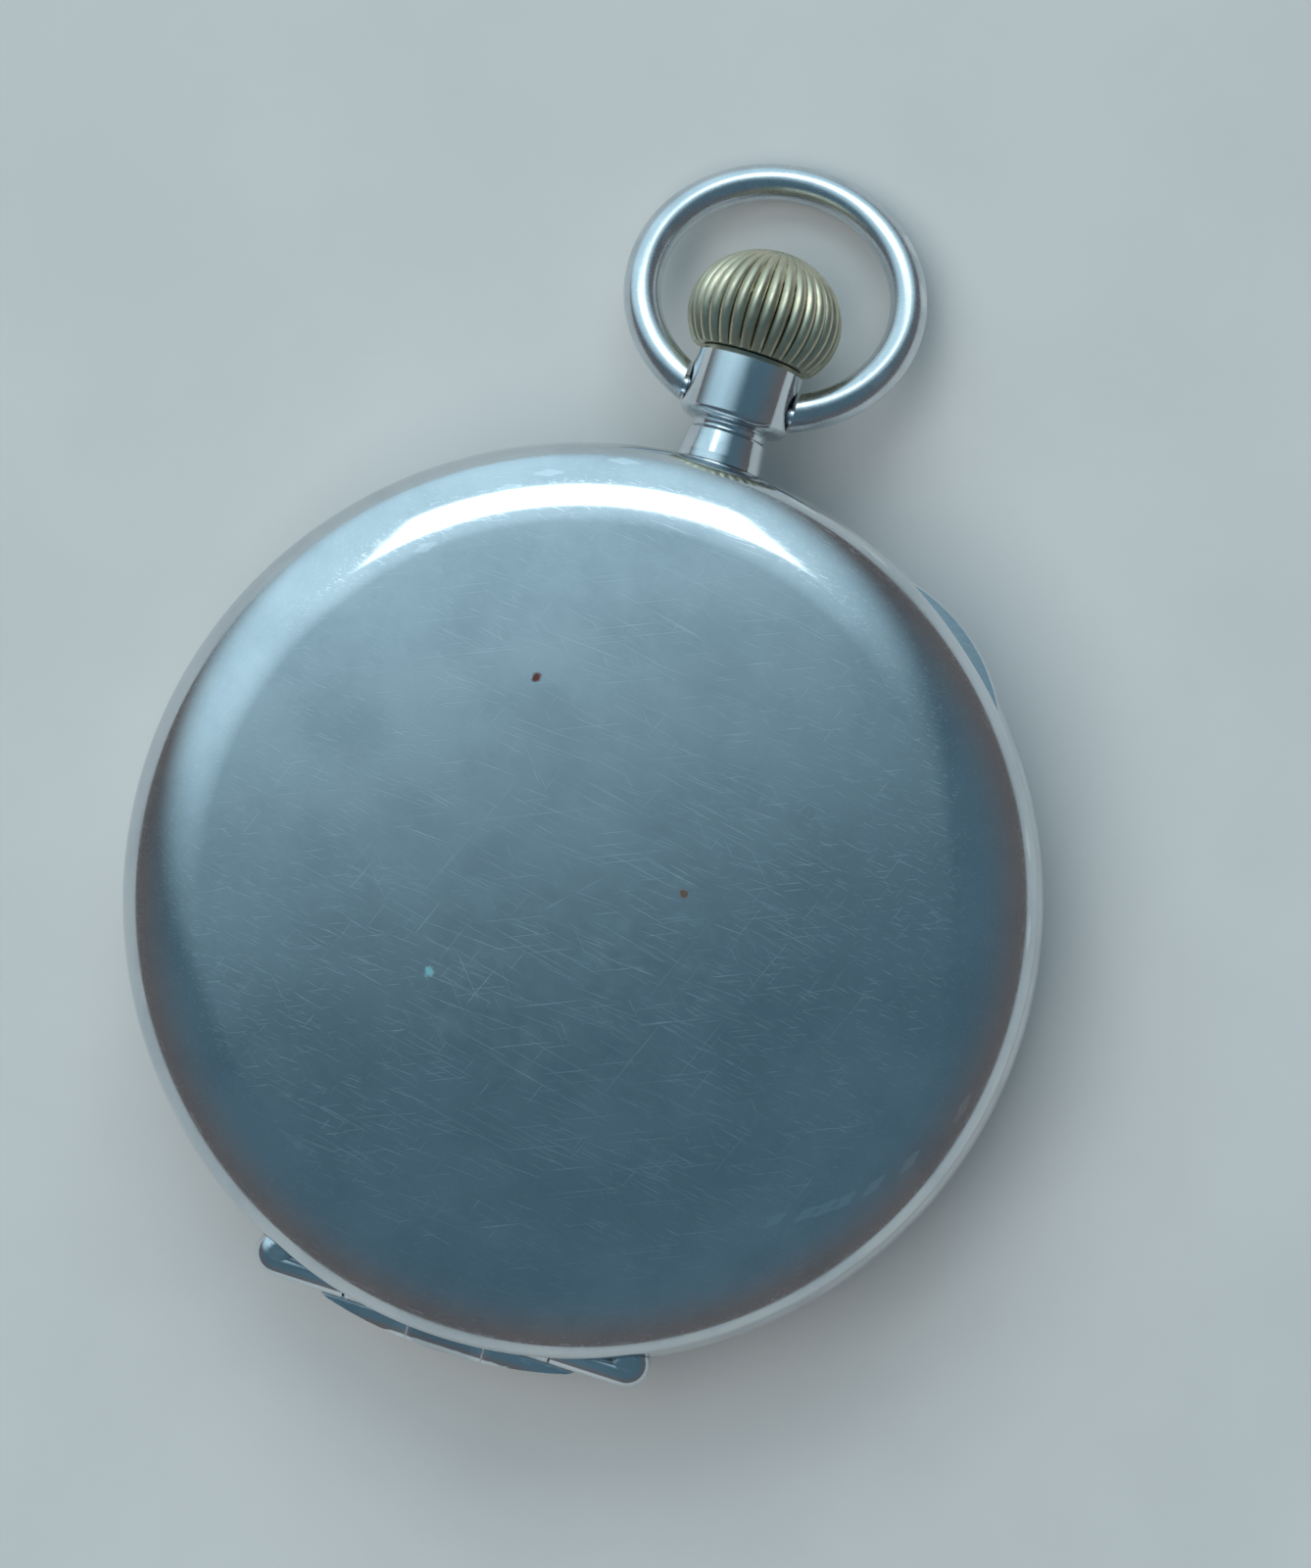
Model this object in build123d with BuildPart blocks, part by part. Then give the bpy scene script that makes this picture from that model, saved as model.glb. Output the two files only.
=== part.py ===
from build123d import *

import os
from math import cos, pi, radians, sin, sqrt

os.makedirs("parts", exist_ok=True)

# Open face pocket watch lying on its crystal. +Z points to the back cover, +Y to the pendant
# at 12 o'clock, +X to the right as seen from behind. The origin is the centre of the crystal's
# flat front face. Lengths are in millimetres.

# ---- case ----
CASE_R = 25.5
CASE_MID_Z = 6.3
EDGE_R = 25.15
BEZEL_Z = 4.4
COVER_Z = 8.2
SNAP_LOW_R = 23.75
SNAP_HIGH_R = 24.3
PLATE_SEAT_R = 21.5
LEDGE_R = 20.9
LEDGE_Z = 6.0
LEDGE_TOP_Z = 6.5
BORE_R = 21.8
COVER_TOP_Z = 13.0
COVER_WALL = 0.55
DOME_R = 412.0
DOME_EDGE_R = 20.3
SHOULDER_R = 24.6
SHOULDER_Z = 10.55
RIM_Z = 9.19
COVER_INNER_Z = 9.0
LIP_ANGLE = 51
LIP_Z = 8.55

# ---- back hinge, shared by cover and cuvette ----
HINGE_Y = -24.0
HINGE_Z = 7.0
HINGE_R = 0.85
HINGE_PIN_R = 0.36
CUVETTE_KNUCKLE = 2.0
CUVETTE_FOOT_R = 23.35
COVER_KNUCKLE = (2.1, 5.9)
CASE_KNUCKLE = (6.0, 11.4)
HINGE_END_R = 1.3

# ---- front hinge of the bezel ----
FRONT_HINGE_Y = -25.15
FRONT_HINGE_Z = 4.3
FRONT_HINGE_R = 1.1
FRONT_HINGE_END_R = 0.95
FRONT_HINGE_HALF = 7.7
FRONT_HINGE_FILE_R = 26.2
FRONT_HINGE_CORNER_R = 1.1
FRONT_PIN_HALF = 5.2
FRONT_PIN_R = 0.3
BEZEL_KNUCKLE = 2.15

# ---- pendant, crown and bow ----
STEM_Z = 6.5
NECK_Y = 25.25
SPIGOT_R = 1.6
COLLAR_R = 3.06
COLLAR_TOP_Y = 31.5
CROWN_R = 4.35
CROWN_Y = 33.9
CROWN_HALF = 3.85
CROWN_BOTTOM_Y = 31.56
CROWN_RIBS = 32
FLUTE_R = 0.25
FLUTE_START = -58
FLUTE_SPAN = 108
BOW_PIVOT_Y = 29.1
BOW_R = 7.53
BOW_OFFSET = 7.1
BOW_WIRE_R = 1.05
BOW_END_X = 3.2
BOW_TILT = 21.7
BOW_PEG_R = 0.6

# ---- movement ----
PLATE_R = 21.4
PLATE_FRONT_Z = 3.6
PLATE_BACK_Z = 6.0
RECESS_Z = 4.9
BRIDGE_R = 18.6
BRIDGE_WALL_R = 16.6
BRIDGE_Z = 8.6
BRIDGE_TOP_Z = 9.4
WHEEL_TOP_Z = 9.9
BRIDGE_SPLIT_Y = -2.6
CENTRE = (0, 0)
BARREL_MODULE = 0.17
BARREL_TEETH = 80
CENTRE_PINION_TEETH = 10
CENTRE_MODULE = 0.16
CENTRE_TEETH = 64
THIRD_PINION_TEETH = 8
THIRD_MODULE = 0.14
THIRD_TEETH = 60
FOURTH_PINION_TEETH = 8
FOURTH_MODULE = 0.115
FOURTH_TEETH = 70
ESCAPE_PINION_TEETH = 7
ESCAPE_TEETH = 15
ESCAPE_TIP_R = 2.6
STONE_OFFSET = 0.36
STONE_LENGTH = 0.8
STONE_WIDTH = 0.28
STONE_SHIFT = 0.2
RATCHET_MODULE = 0.2
RATCHET_TEETH = 64
CROWN_WHEEL_TEETH = 36
FACE_MODULE = 0.24
FACE_TEETH = 24
WINDING_TEETH = 20
MOTION_MODULE = 0.16
CANNON_TEETH = 10
MINUTE_TEETH = 30
MINUTE_PINION_TEETH = 8
HOUR_TEETH = 32
SETTING_TEETH = 37
BALANCE_R = 6.4
BALANCE_CLEAR_R = 7.35


def polar(start, distance, angle):
    """The point at a distance and an angle in degrees from start."""
    return (start[0] + distance * cos(radians(angle)), start[1] + distance * sin(radians(angle)))


def mesh_distance(module, teeth_a, teeth_b):
    """Distance between the axes of two gears in mesh."""
    return module * (teeth_a + teeth_b) / 2


BARREL = polar(CENTRE, mesh_distance(BARREL_MODULE, BARREL_TEETH, CENTRE_PINION_TEETH), 140)
CROWN_WHEEL_GAP = mesh_distance(RATCHET_MODULE, RATCHET_TEETH, CROWN_WHEEL_TEETH)
CROWN_WHEEL = (0, BARREL[1] + sqrt(CROWN_WHEEL_GAP**2 - BARREL[0] ** 2))
FOURTH = (0, -10.0)
THIRD_CENTRE = mesh_distance(CENTRE_MODULE, CENTRE_TEETH, THIRD_PINION_TEETH)
THIRD_FOURTH = mesh_distance(THIRD_MODULE, THIRD_TEETH, FOURTH_PINION_TEETH)
THIRD_Y = -(THIRD_CENTRE**2 - THIRD_FOURTH**2 + FOURTH[1] ** 2) / (2 * -FOURTH[1])
THIRD = (sqrt(THIRD_CENTRE**2 - THIRD_Y**2), THIRD_Y)
ESCAPE = polar(FOURTH, mesh_distance(FOURTH_MODULE, FOURTH_TEETH, ESCAPE_PINION_TEETH), -25)
ESCAPE_LINE = 35
PALLET = polar(ESCAPE, 3.3, ESCAPE_LINE)
BALANCE = polar(ESCAPE, 8.4, ESCAPE_LINE)
COCK_FOOT = (17.1, 2.4)
PALLET_SCREW = polar(PALLET, 4.2, ESCAPE_LINE - 90)
MINUTE_WHEEL = (0, mesh_distance(MOTION_MODULE, CANNON_TEETH, MINUTE_TEETH))
SETTING_WHEEL = (0, MINUTE_WHEEL[1] + mesh_distance(MOTION_MODULE, MINUTE_TEETH, SETTING_TEETH))
WINDING_Y = CROWN_WHEEL[1] + FACE_MODULE * FACE_TEETH / 2
CLICK = polar(BARREL, 8.3, 150)
CLICK_TIP = polar(BARREL, 6.98, 127)
SETTING_LEVER = (5.0, 18.6)
YOKE = (-6.0, 13.9)
CASE_SCREWS = [polar(CENTRE, 20.2, angle) for angle in (40, 160, 260)]
BRIDGE_SCREWS = [polar(CENTRE, 17.6, angle) for angle in (62, 176, 206, 300)]


# ---- helpers ----
def at(point, z):
    """A level plane with its origin over point."""
    return Plane((point[0], point[1], z))


def across(y, x=0, z=STEM_Z):
    """A plane square to the stem, facing +Y."""
    return Plane((x, y, z), x_dir=(1, 0, 0), z_dir=(0, 1, 0))


def disc(point, radius, low, high, mode=Mode.ADD):
    """A round disc or post along Z."""
    with BuildSketch(at(point, low)) as face:
        Circle(radius)
    extrude(face.sketch, amount=high - low, mode=mode)


def turned(low_y, high_y, radius, mode=Mode.ADD):
    """A round length on the stem's axis."""
    with BuildSketch(across(low_y)) as face:
        Circle(radius)
    extrude(face.sketch, amount=high_y - low_y, mode=mode)


def rod_x(low_x, high_x, radius, y, z, mode=Mode.ADD):
    """A round rod along X."""
    with BuildSketch(Plane((low_x, y, z), x_dir=(0, 1, 0), z_dir=(1, 0, 0))) as face:
        Circle(radius)
    extrude(face.sketch, amount=high_x - low_x, mode=mode)


def block(low, high, mode=Mode.ADD):
    """A block between two corners."""
    with BuildSketch(Plane(((low[0] + high[0]) / 2, (low[1] + high[1]) / 2, low[2]))) as face:
        Rectangle(high[0] - low[0], high[1] - low[1])
    extrude(face.sketch, amount=high[2] - low[2], mode=mode)


def gear_points(teeth, module, turn=0.0, tip=0.95, root=1.2):
    """Corners of a gear with straight-sided teeth; turn is in tooth pitches."""
    radius = module * teeth / 2
    pitch = 2 * pi / teeth
    corners = [(-0.27, -root), (-0.21, 0.0), (-0.10, tip), (0.10, tip), (0.21, 0.0), (0.27, -root)]
    points = []
    for tooth in range(teeth):
        for offset, height in corners:
            angle = (tooth + turn + offset) * pitch
            reach = radius + height * module
            points.append((reach * cos(angle), reach * sin(angle)))
    return points


def gear(plane, thickness, teeth, module, turn=0.0, tip=0.95, root=1.2):
    """A toothed disc standing on plane."""
    with BuildSketch(plane) as face:
        with BuildLine():
            Polyline(*gear_points(teeth, module, turn, tip, root), close=True)
        make_face()
    extrude(face.sketch, amount=thickness)


def spokes(point, low, thickness, hub_r, rim_r, count, width, turn=0.0):
    """Cuts the windows between the spokes of a wheel."""
    with BuildSketch(at(point, low)) as face:
        Circle(rim_r)
        Circle(hub_r, mode=Mode.SUBTRACT)
        with PolarLocations(0, count, start_angle=turn):
            Rectangle(rim_r + 1, width, align=(Align.MIN, Align.CENTER), mode=Mode.SUBTRACT)
    extrude(face.sketch, amount=thickness, mode=Mode.SUBTRACT)


def mesh_turn(teeth, toward, own_space=False):
    """Turn, in pitches, that puts a tooth (or a space) at the angle toward, in degrees."""
    turn = toward * teeth / 360
    if own_space:
        turn = turn + 0.5
    return turn


def heading(start, end):
    """Angle in degrees of the line from start to end."""
    return Vector(end[0] - start[0], end[1] - start[1]).get_signed_angle(Vector(1, 0), Vector(0, 0, -1))


def screw(point, low, head_low, head_high, shank_r, head_r, slot_w=0.22):
    """A slotted screw along Z with its head at the back."""
    disc(point, shank_r, low, head_low)
    disc(point, head_r, head_low, head_high)
    depth = 0.4 * (head_high - head_low)
    with BuildSketch(at(point, head_high - depth)) as slot:
        Rectangle(2 * head_r + 0.1, slot_w, rotation=30)
    extrude(slot.sketch, amount=depth, mode=Mode.SUBTRACT)


def hull_plate(circles, low, high, mode=Mode.ADD):
    """A flat lever or cock: the outline round several circles given as (point, radius)."""
    with BuildSketch(Plane.XY.offset(low)) as face:
        for point, radius in circles:
            with Locations(point):
                Circle(radius)
        for (start, start_r), (end, end_r) in zip(circles, circles[1:]):
            away = heading(start, end) + 90
            with BuildLine():
                Polyline(
                    polar(start, start_r, away),
                    polar(start, -start_r, away),
                    polar(end, -end_r, away),
                    polar(end, end_r, away),
                    close=True,
                )
            make_face()
    extrude(face.sketch, amount=high - low, mode=mode)


def spiral_blade(inner_r, pitch, half_turns, width):
    """A flat spiral blade: half circles whose centres alternate, joined tangent to each other."""
    edges = []
    for side in (0, 1):
        radius = inner_r + side * width
        centre_x = 0.0
        for half in range(half_turns):
            sign = 1 if half % 2 == 0 else -1
            start = (centre_x + sign * radius, 0)
            middle = (centre_x, sign * radius)
            end = (centre_x - sign * radius, 0)
            edges.append((side, start, middle, end))
            centre_x = centre_x + sign * pitch / 2
            radius = radius + pitch / 2
    return edges


def spiral(point, low, high, inner_r, pitch, half_turns, width):
    """Extrudes a spiral blade."""
    edges = spiral_blade(inner_r, pitch, half_turns, width)
    inner = [edge for edge in edges if edge[0] == 0]
    outer = [edge for edge in edges if edge[0] == 1]
    with BuildSketch(at(point, low)) as face:
        with BuildLine():
            for _, start, middle, end in inner + outer:
                ThreePointArc(start, middle, end)
            Line(inner[0][1], outer[0][1])
            Line(inner[-1][3], outer[-1][3])
        make_face()
    extrude(face.sketch, amount=high - low)


def torpedo(low_x, high_x, extra=0.0, mode=Mode.ADD):
    """A stretch of the crowned tube of the front hinge."""
    drop = FRONT_HINGE_R - FRONT_HINGE_END_R
    curve_r = (FRONT_HINGE_HALF**2 + drop**2) / (2 * drop)

    def reach(x):
        return FRONT_HINGE_R + extra - curve_r + sqrt(curve_r**2 - x**2)

    middle = (low_x + high_x) / 2
    plane = Plane((0, FRONT_HINGE_Y, FRONT_HINGE_Z), x_dir=(1, 0, 0), z_dir=(0, -1, 0))
    with BuildSketch(plane) as face:
        with BuildLine():
            ThreePointArc((low_x, reach(low_x)), (middle, reach(middle)), (high_x, reach(high_x)))
            Polyline((high_x, reach(high_x)), (high_x, 0), (low_x, 0), (low_x, reach(low_x)))
        make_face()
    axis = Axis((0, FRONT_HINGE_Y, FRONT_HINGE_Z), (1, 0, 0))
    revolve(face.sketch, axis=axis, mode=mode)


def file_front_hinge():
    """Files the front hinge's tube flush with the curve of the case and rounds off its ends."""
    corner_x = FRONT_HINGE_HALF - FRONT_HINGE_CORNER_R
    corner_y = -sqrt((FRONT_HINGE_FILE_R - FRONT_HINGE_CORNER_R) ** 2 - corner_x**2)
    with BuildSketch(Plane.XY.offset(FRONT_HINGE_Z - 1.5)) as waste:
        with Locations((0, -CASE_R)):
            Rectangle(2 * FRONT_HINGE_HALF + 2, 5)
        with BuildSketch(mode=Mode.PRIVATE) as kept:
            Circle(FRONT_HINGE_FILE_R)
            Rectangle(2 * corner_x, 60, mode=Mode.INTERSECT)
            with Locations((-corner_x, corner_y), (corner_x, corner_y)):
                Circle(FRONT_HINGE_CORNER_R)
            Circle(CASE_R)
        add(kept.sketch, mode=Mode.SUBTRACT)
    extrude(waste.sketch, amount=3, mode=Mode.SUBTRACT)


def hinge_end(side):
    """The rounded end that turns the back hinge's tube into the side of the case."""
    centre_x = side * (CASE_KNUCKLE[1] - HINGE_END_R)
    flat = HINGE_END_R - HINGE_R
    centre_y = HINGE_Y + flat
    plane = Plane((centre_x, centre_y, HINGE_Z), x_dir=(1, 0, 0), z_dir=(0, -1, 0))
    with BuildSketch(plane) as face:
        with Locations((flat, 0)):
            Circle(HINGE_R)
        with Locations((flat / 2, 0)):
            Rectangle(flat, 2 * HINGE_R)
        with Locations((-HINGE_R, 0)):
            Rectangle(2 * HINGE_R, 2 * HINGE_R, mode=Mode.SUBTRACT)
    revolve(face.sketch, axis=Axis((centre_x, centre_y, 0), (0, 0, 1)))


# ---- case middle ----
with BuildPart() as case_middle:
    with BuildSketch(Plane.XZ):
        with BuildLine():
            ThreePointArc((EDGE_R, BEZEL_Z), (CASE_R, CASE_MID_Z), (EDGE_R, COVER_Z))
            Polyline(
                (EDGE_R, COVER_Z),
                (SNAP_HIGH_R, COVER_Z),
                (SNAP_HIGH_R, COVER_Z + 0.5),
                (SNAP_LOW_R, COVER_Z + 0.5),
                (SNAP_LOW_R, COVER_Z),
                (BORE_R, COVER_Z),
                (BORE_R, LEDGE_TOP_Z),
                (LEDGE_R, LEDGE_TOP_Z),
                (LEDGE_R, LEDGE_Z),
                (PLATE_SEAT_R, LEDGE_Z),
                (PLATE_SEAT_R, BEZEL_Z),
                (SNAP_LOW_R, BEZEL_Z),
                (SNAP_LOW_R, BEZEL_Z - 0.5),
                (SNAP_HIGH_R, BEZEL_Z - 0.5),
                (SNAP_HIGH_R, BEZEL_Z),
                (EDGE_R, BEZEL_Z),
            )
        make_face()
    revolve(axis=Axis.Z)
    # room for the swinging knuckles of the cover and the cuvette
    block((-7.9, -27, 5.0), (7.9, HINGE_Y, COVER_Z + 1), mode=Mode.SUBTRACT)
    block((-6.0, -27, HINGE_Z), (6.0, -22.9, COVER_Z + 1), mode=Mode.SUBTRACT)
    rod_x(-6.0, 6.0, HINGE_R + 0.15, HINGE_Y, HINGE_Z, mode=Mode.SUBTRACT)
    block((-9.5, -27, COVER_Z), (9.5, -20, COVER_Z + 1), mode=Mode.SUBTRACT)
    block((-9.5, -27, BEZEL_Z - 1), (9.5, -20, BEZEL_Z), mode=Mode.SUBTRACT)
    for side in (-1, 1):
        low_x, high_x = sorted((side * CASE_KNUCKLE[0], side * (CASE_KNUCKLE[1] - HINGE_END_R)))
        rod_x(low_x, high_x, HINGE_R, HINGE_Y, HINGE_Z)
        hinge_end(side)
        low_x, high_x = sorted((side * (BEZEL_KNUCKLE + 0.1), side * FRONT_HINGE_HALF))
        torpedo(low_x, high_x)
    file_front_hinge()
    rod_x(-10.6, 10.6, HINGE_PIN_R, HINGE_Y, HINGE_Z, mode=Mode.SUBTRACT)
    torpedo(-BEZEL_KNUCKLE - 0.1, BEZEL_KNUCKLE + 0.1, 0.12, mode=Mode.SUBTRACT)
    pin_end = FRONT_PIN_HALF + 0.1
    rod_x(-pin_end, pin_end, FRONT_PIN_R, FRONT_HINGE_Y, FRONT_HINGE_Z, mode=Mode.SUBTRACT)
    # seat and bore of the pendant
    turned(NECK_Y, 27, 2.45, mode=Mode.SUBTRACT)
    turned(20, NECK_Y + 0.1, SPIGOT_R, mode=Mode.SUBTRACT)
case_middle.part.label = "case_middle"
export_step(case_middle.part, "parts/case_middle.step")


def ball_points(y_low, y_high, steps):
    """Points on the crown's outline, as (radius, y)."""
    points = []
    for step in range(steps + 1):
        y = y_low + (y_high - y_low) * step / steps
        points.append((CROWN_R * sqrt(max(0.0, 1 - ((y - CROWN_Y) / CROWN_HALF) ** 2)), y))
    return points


# ---- pendant: spigot, neck, waist and collar ----
with BuildPart() as pendant:
    with BuildSketch(Plane((0, 0, STEM_Z), x_dir=(1, 0, 0), z_dir=(0, 0, 1))):
        with BuildLine():
            Polyline(
                (0.65, 21.9),
                (SPIGOT_R, 21.9),
                (SPIGOT_R, NECK_Y),
                (2.42, NECK_Y),
                (2.38, 25.7),
                (2.2, 26.95),
            )
            ThreePointArc((2.2, 26.95), (2.05, 27.3), (2.35, 27.6))
            ThreePointArc((2.35, 27.6), (2.8, 27.72), (COLLAR_R, 28.05))
            Polyline(
                (COLLAR_R, 28.05),
                (COLLAR_R, COLLAR_TOP_Y - 0.3),
                (COLLAR_R - 0.25, COLLAR_TOP_Y),
                (0.65, COLLAR_TOP_Y),
                (0.65, 21.9),
            )
        make_face()
    revolve(axis=Axis((0, 0, STEM_Z), (0, 1, 0)))
    for side in (-1, 1):
        low_x, high_x = sorted((side * 1.9, side * 4))
        rod_x(low_x, high_x, BOW_PEG_R + 0.05, BOW_PIVOT_Y, STEM_Z, mode=Mode.SUBTRACT)
pendant.part.label = "pendant"
export_step(pendant.part, "parts/pendant.step")

# ---- hinge pins ----
with BuildPart() as hinge_pin_back:
    rod_x(-10.6, 10.6, HINGE_PIN_R, HINGE_Y, HINGE_Z)
hinge_pin_back.part.label = "hinge_pin_back"
export_step(hinge_pin_back.part, "parts/hinge_pin_back.step")

with BuildPart() as hinge_pin_front:
    rod_x(-FRONT_PIN_HALF, FRONT_PIN_HALF, FRONT_PIN_R, FRONT_HINGE_Y, FRONT_HINGE_Z)
hinge_pin_front.part.label = "hinge_pin_front"
export_step(hinge_pin_front.part, "parts/hinge_pin_front.step")

def dome_z(radius):
    """Height of the cover's shallow dome, a sphere centred on the case's axis."""
    return COVER_TOP_Z - DOME_R + sqrt(DOME_R**2 - radius**2)


# ---- back cover with thumb lip and two knuckles ----
with BuildPart() as back_cover:
    with BuildSketch(Plane.XZ):
        with BuildLine():
            dome = ThreePointArc(
                (0, COVER_TOP_Z),
                (DOME_EDGE_R / 2, dome_z(DOME_EDGE_R / 2)),
                (DOME_EDGE_R, dome_z(DOME_EDGE_R)),
            )
            shoulder = TangentArc(dome @ 1, (SHOULDER_R, SHOULDER_Z), tangent=dome % 1)
            rim = TangentArc(shoulder @ 1, (EDGE_R, RIM_Z), tangent=shoulder % 1)
            Polyline(
                rim @ 1,
                (EDGE_R, COVER_Z),
                (SNAP_HIGH_R + 0.1, COVER_Z),
                (SNAP_HIGH_R + 0.1, COVER_INNER_Z),
            )
            ThreePointArc(
                (SNAP_HIGH_R + 0.1, COVER_INNER_Z),
                (23.3, 10.75),
                (20.0, dome_z(20.0) - COVER_WALL),
            )
            ThreePointArc(
                (20.0, dome_z(20.0) - COVER_WALL),
                (10.2, dome_z(10.2) - COVER_WALL),
                (0, COVER_TOP_Z - COVER_WALL),
            )
            Line((0, COVER_TOP_Z - COVER_WALL), (0, COVER_TOP_Z))
        make_face()
    revolve(axis=Axis.Z)
    # the thumb lip is a thin crescent
    with BuildSketch(Plane.XY.offset(COVER_Z)):
        with Locations(polar(CENTRE, 15.45, LIP_ANGLE)):
            Circle(10.35)
        Circle(SNAP_HIGH_R + 0.4, mode=Mode.SUBTRACT)
    extrude(amount=LIP_Z - COVER_Z)
    for side in (-1, 1):
        low_x, high_x = sorted((side * COVER_KNUCKLE[0], side * COVER_KNUCKLE[1]))
        rod_x(low_x, high_x, HINGE_R, HINGE_Y, HINGE_Z)
        # the web that carries the knuckle stays inside the cover's round edge
        with BuildSketch(Plane.XY.offset(HINGE_Z)) as web:
            with Locations(((low_x + high_x) / 2, HINGE_Y - 0.38)):
                Rectangle(high_x - low_x, 0.94)
            Circle(EDGE_R - 0.03, mode=Mode.INTERSECT)
        extrude(web.sketch, amount=COVER_Z + 0.35 - HINGE_Z)
    rod_x(-6, 6, HINGE_PIN_R + 0.04, HINGE_Y, HINGE_Z, mode=Mode.SUBTRACT)
back_cover.part.label = "back_cover"
export_step(back_cover.part, "parts/back_cover.step")

# ---- cuvette, the inner dust cover ----
with BuildPart() as cuvette:
    with BuildSketch(Plane.XZ):
        with BuildLine():
            Polyline(
                (0, 11.2),
                (21.6, 11.0),
                (22.5, 10.5),
                (22.65, 8.45),
                (CUVETTE_FOOT_R, 8.45),
                (CUVETTE_FOOT_R, COVER_Z),
                (22.4, COVER_Z),
                (22.25, 10.4),
                (21.5, 10.76),
                (0, 10.96),
                close=True,
            )
        make_face()
    revolve(axis=Axis.Z)
    rod_x(-CUVETTE_KNUCKLE, CUVETTE_KNUCKLE, HINGE_R, HINGE_Y, HINGE_Z)
    block((-CUVETTE_KNUCKLE, HINGE_Y - 0.2, HINGE_Z), (CUVETTE_KNUCKLE, -23.3, 8.45))
    rod_x(-3, 3, HINGE_PIN_R + 0.04, HINGE_Y, HINGE_Z, mode=Mode.SUBTRACT)
cuvette.part.label = "cuvette"
export_step(cuvette.part, "parts/cuvette.step")

# ---- bezel and crystal ----
with BuildPart() as bezel:
    with BuildSketch(Plane.XZ):
        with BuildLine():
            ThreePointArc((EDGE_R, BEZEL_Z), (24.6, 2.5), (22.9, 1.15))
            Polyline(
                (22.9, 1.15),
                (22.2, 0.95),
                (21.5, 1.02),
                (21.72, 1.35),
                (21.45, 1.76),
                (20.8, 1.76),
                (20.8, 2.8),
                (21.7, 2.95),
                (21.7, BEZEL_Z),
                (SNAP_LOW_R - 0.06, BEZEL_Z),
                (SNAP_LOW_R - 0.06, BEZEL_Z - 0.56),
                (SNAP_HIGH_R + 0.06, BEZEL_Z - 0.56),
                (SNAP_HIGH_R + 0.06, BEZEL_Z),
                (EDGE_R, BEZEL_Z),
            )
        make_face()
    revolve(axis=Axis.Z)
    for side in (-1, 1):
        low_x, high_x = sorted((side * (BEZEL_KNUCKLE), side * (FRONT_HINGE_HALF + 0.15)))
        torpedo(low_x, high_x, 0.12, mode=Mode.SUBTRACT)
    torpedo(-BEZEL_KNUCKLE, BEZEL_KNUCKLE)
    file_front_hinge()
    rod_x(-3, 3, FRONT_PIN_R + 0.04, FRONT_HINGE_Y, FRONT_HINGE_Z, mode=Mode.SUBTRACT)
bezel.part.label = "bezel"
export_step(bezel.part, "parts/bezel.step")

with BuildPart() as crystal:
    with BuildSketch(Plane.XZ):
        with BuildLine():
            Polyline(
                (0, 0),
                (18.6, 0),
                (21.35, 0.98),
                (21.62, 1.35),
                (21.35, 1.72),
                (20.5, 1.72),
                (20.1, 1.3),
                (0, 1.3),
                close=True,
            )
        make_face()
    revolve(axis=Axis.Z)
crystal.part.label = "crystal"
export_step(crystal.part, "parts/crystal.step")

# ---- bow: a ring of round wire, cut flat beside the collar, with a peg at each end ----
with BuildPart() as bow:
    tilt = radians(BOW_TILT)
    along = Vector(0, cos(tilt), -sin(tilt))
    normal = Vector(0, sin(tilt), cos(tilt))
    pivot = Vector(0, BOW_PIVOT_Y, STEM_Z)
    ring_centre = pivot + along * BOW_OFFSET
    ring_plane = Plane(ring_centre, x_dir=(1, 0, 0), z_dir=normal)
    section = Plane(ring_centre + along * BOW_R, x_dir=along, z_dir=(-1, 0, 0))
    with BuildSketch(section):
        Circle(BOW_WIRE_R)
    revolve(axis=Axis(ring_centre, normal))
    with BuildSketch(Plane(ring_centre - along * BOW_R - normal * 2, x_dir=(1, 0, 0), z_dir=normal)):
        Rectangle(2 * BOW_END_X, 5)
    extrude(amount=4, mode=Mode.SUBTRACT)
    for side in (-1, 1):
        low_x, high_x = sorted((side * 2.0, side * (BOW_END_X + 0.3)))
        rod_x(low_x, high_x, BOW_PEG_R, BOW_PIVOT_Y, STEM_Z)
bow.part.label = "bow"
export_step(bow.part, "parts/bow.step")

# ---- crown: a fluted ball on the stem ----
with BuildPart() as crown:
    with BuildSketch(Plane((0, 0, STEM_Z), x_dir=(1, 0, 0), z_dir=(0, 0, 1))):
        with BuildLine():
            Spline(*ball_points(CROWN_BOTTOM_Y + 0.2, CROWN_Y + CROWN_HALF, 10))
            Polyline((0, CROWN_Y + CROWN_HALF), (0, CROWN_BOTTOM_Y), (3.2, CROWN_BOTTOM_Y))
            Line((3.2, CROWN_BOTTOM_Y), ball_points(CROWN_BOTTOM_Y + 0.2, CROWN_Y, 1)[0])
        make_face()
    revolve(axis=Axis((0, 0, STEM_Z), (0, 1, 0)))
    # each flute is a round groove swept along a meridian
    curve_r = CROWN_HALF**2 / CROWN_R
    for rib in range(CROWN_RIBS):
        turn = radians(360 * (rib + 0.5) / CROWN_RIBS)
        spoke = Vector(cos(turn), 0, sin(turn))
        level = Vector(-sin(turn), 0, cos(turn))
        hub = Vector(0, CROWN_Y, STEM_Z) + spoke * (CROWN_R - curve_r)
        start = spoke.rotate(Axis(hub, level), FLUTE_START)
        with BuildSketch(Plane(hub + start * (curve_r + 0.06), x_dir=start, z_dir=level.cross(start))):
            Circle(FLUTE_R)
        revolve(axis=Axis(hub, level), revolution_arc=FLUTE_SPAN, mode=Mode.SUBTRACT)
    turned(CROWN_BOTTOM_Y - 0.1, 34.5, 0.6, mode=Mode.SUBTRACT)
crown.part.label = "crown"
export_step(crown.part, "parts/crown.step")

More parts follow.
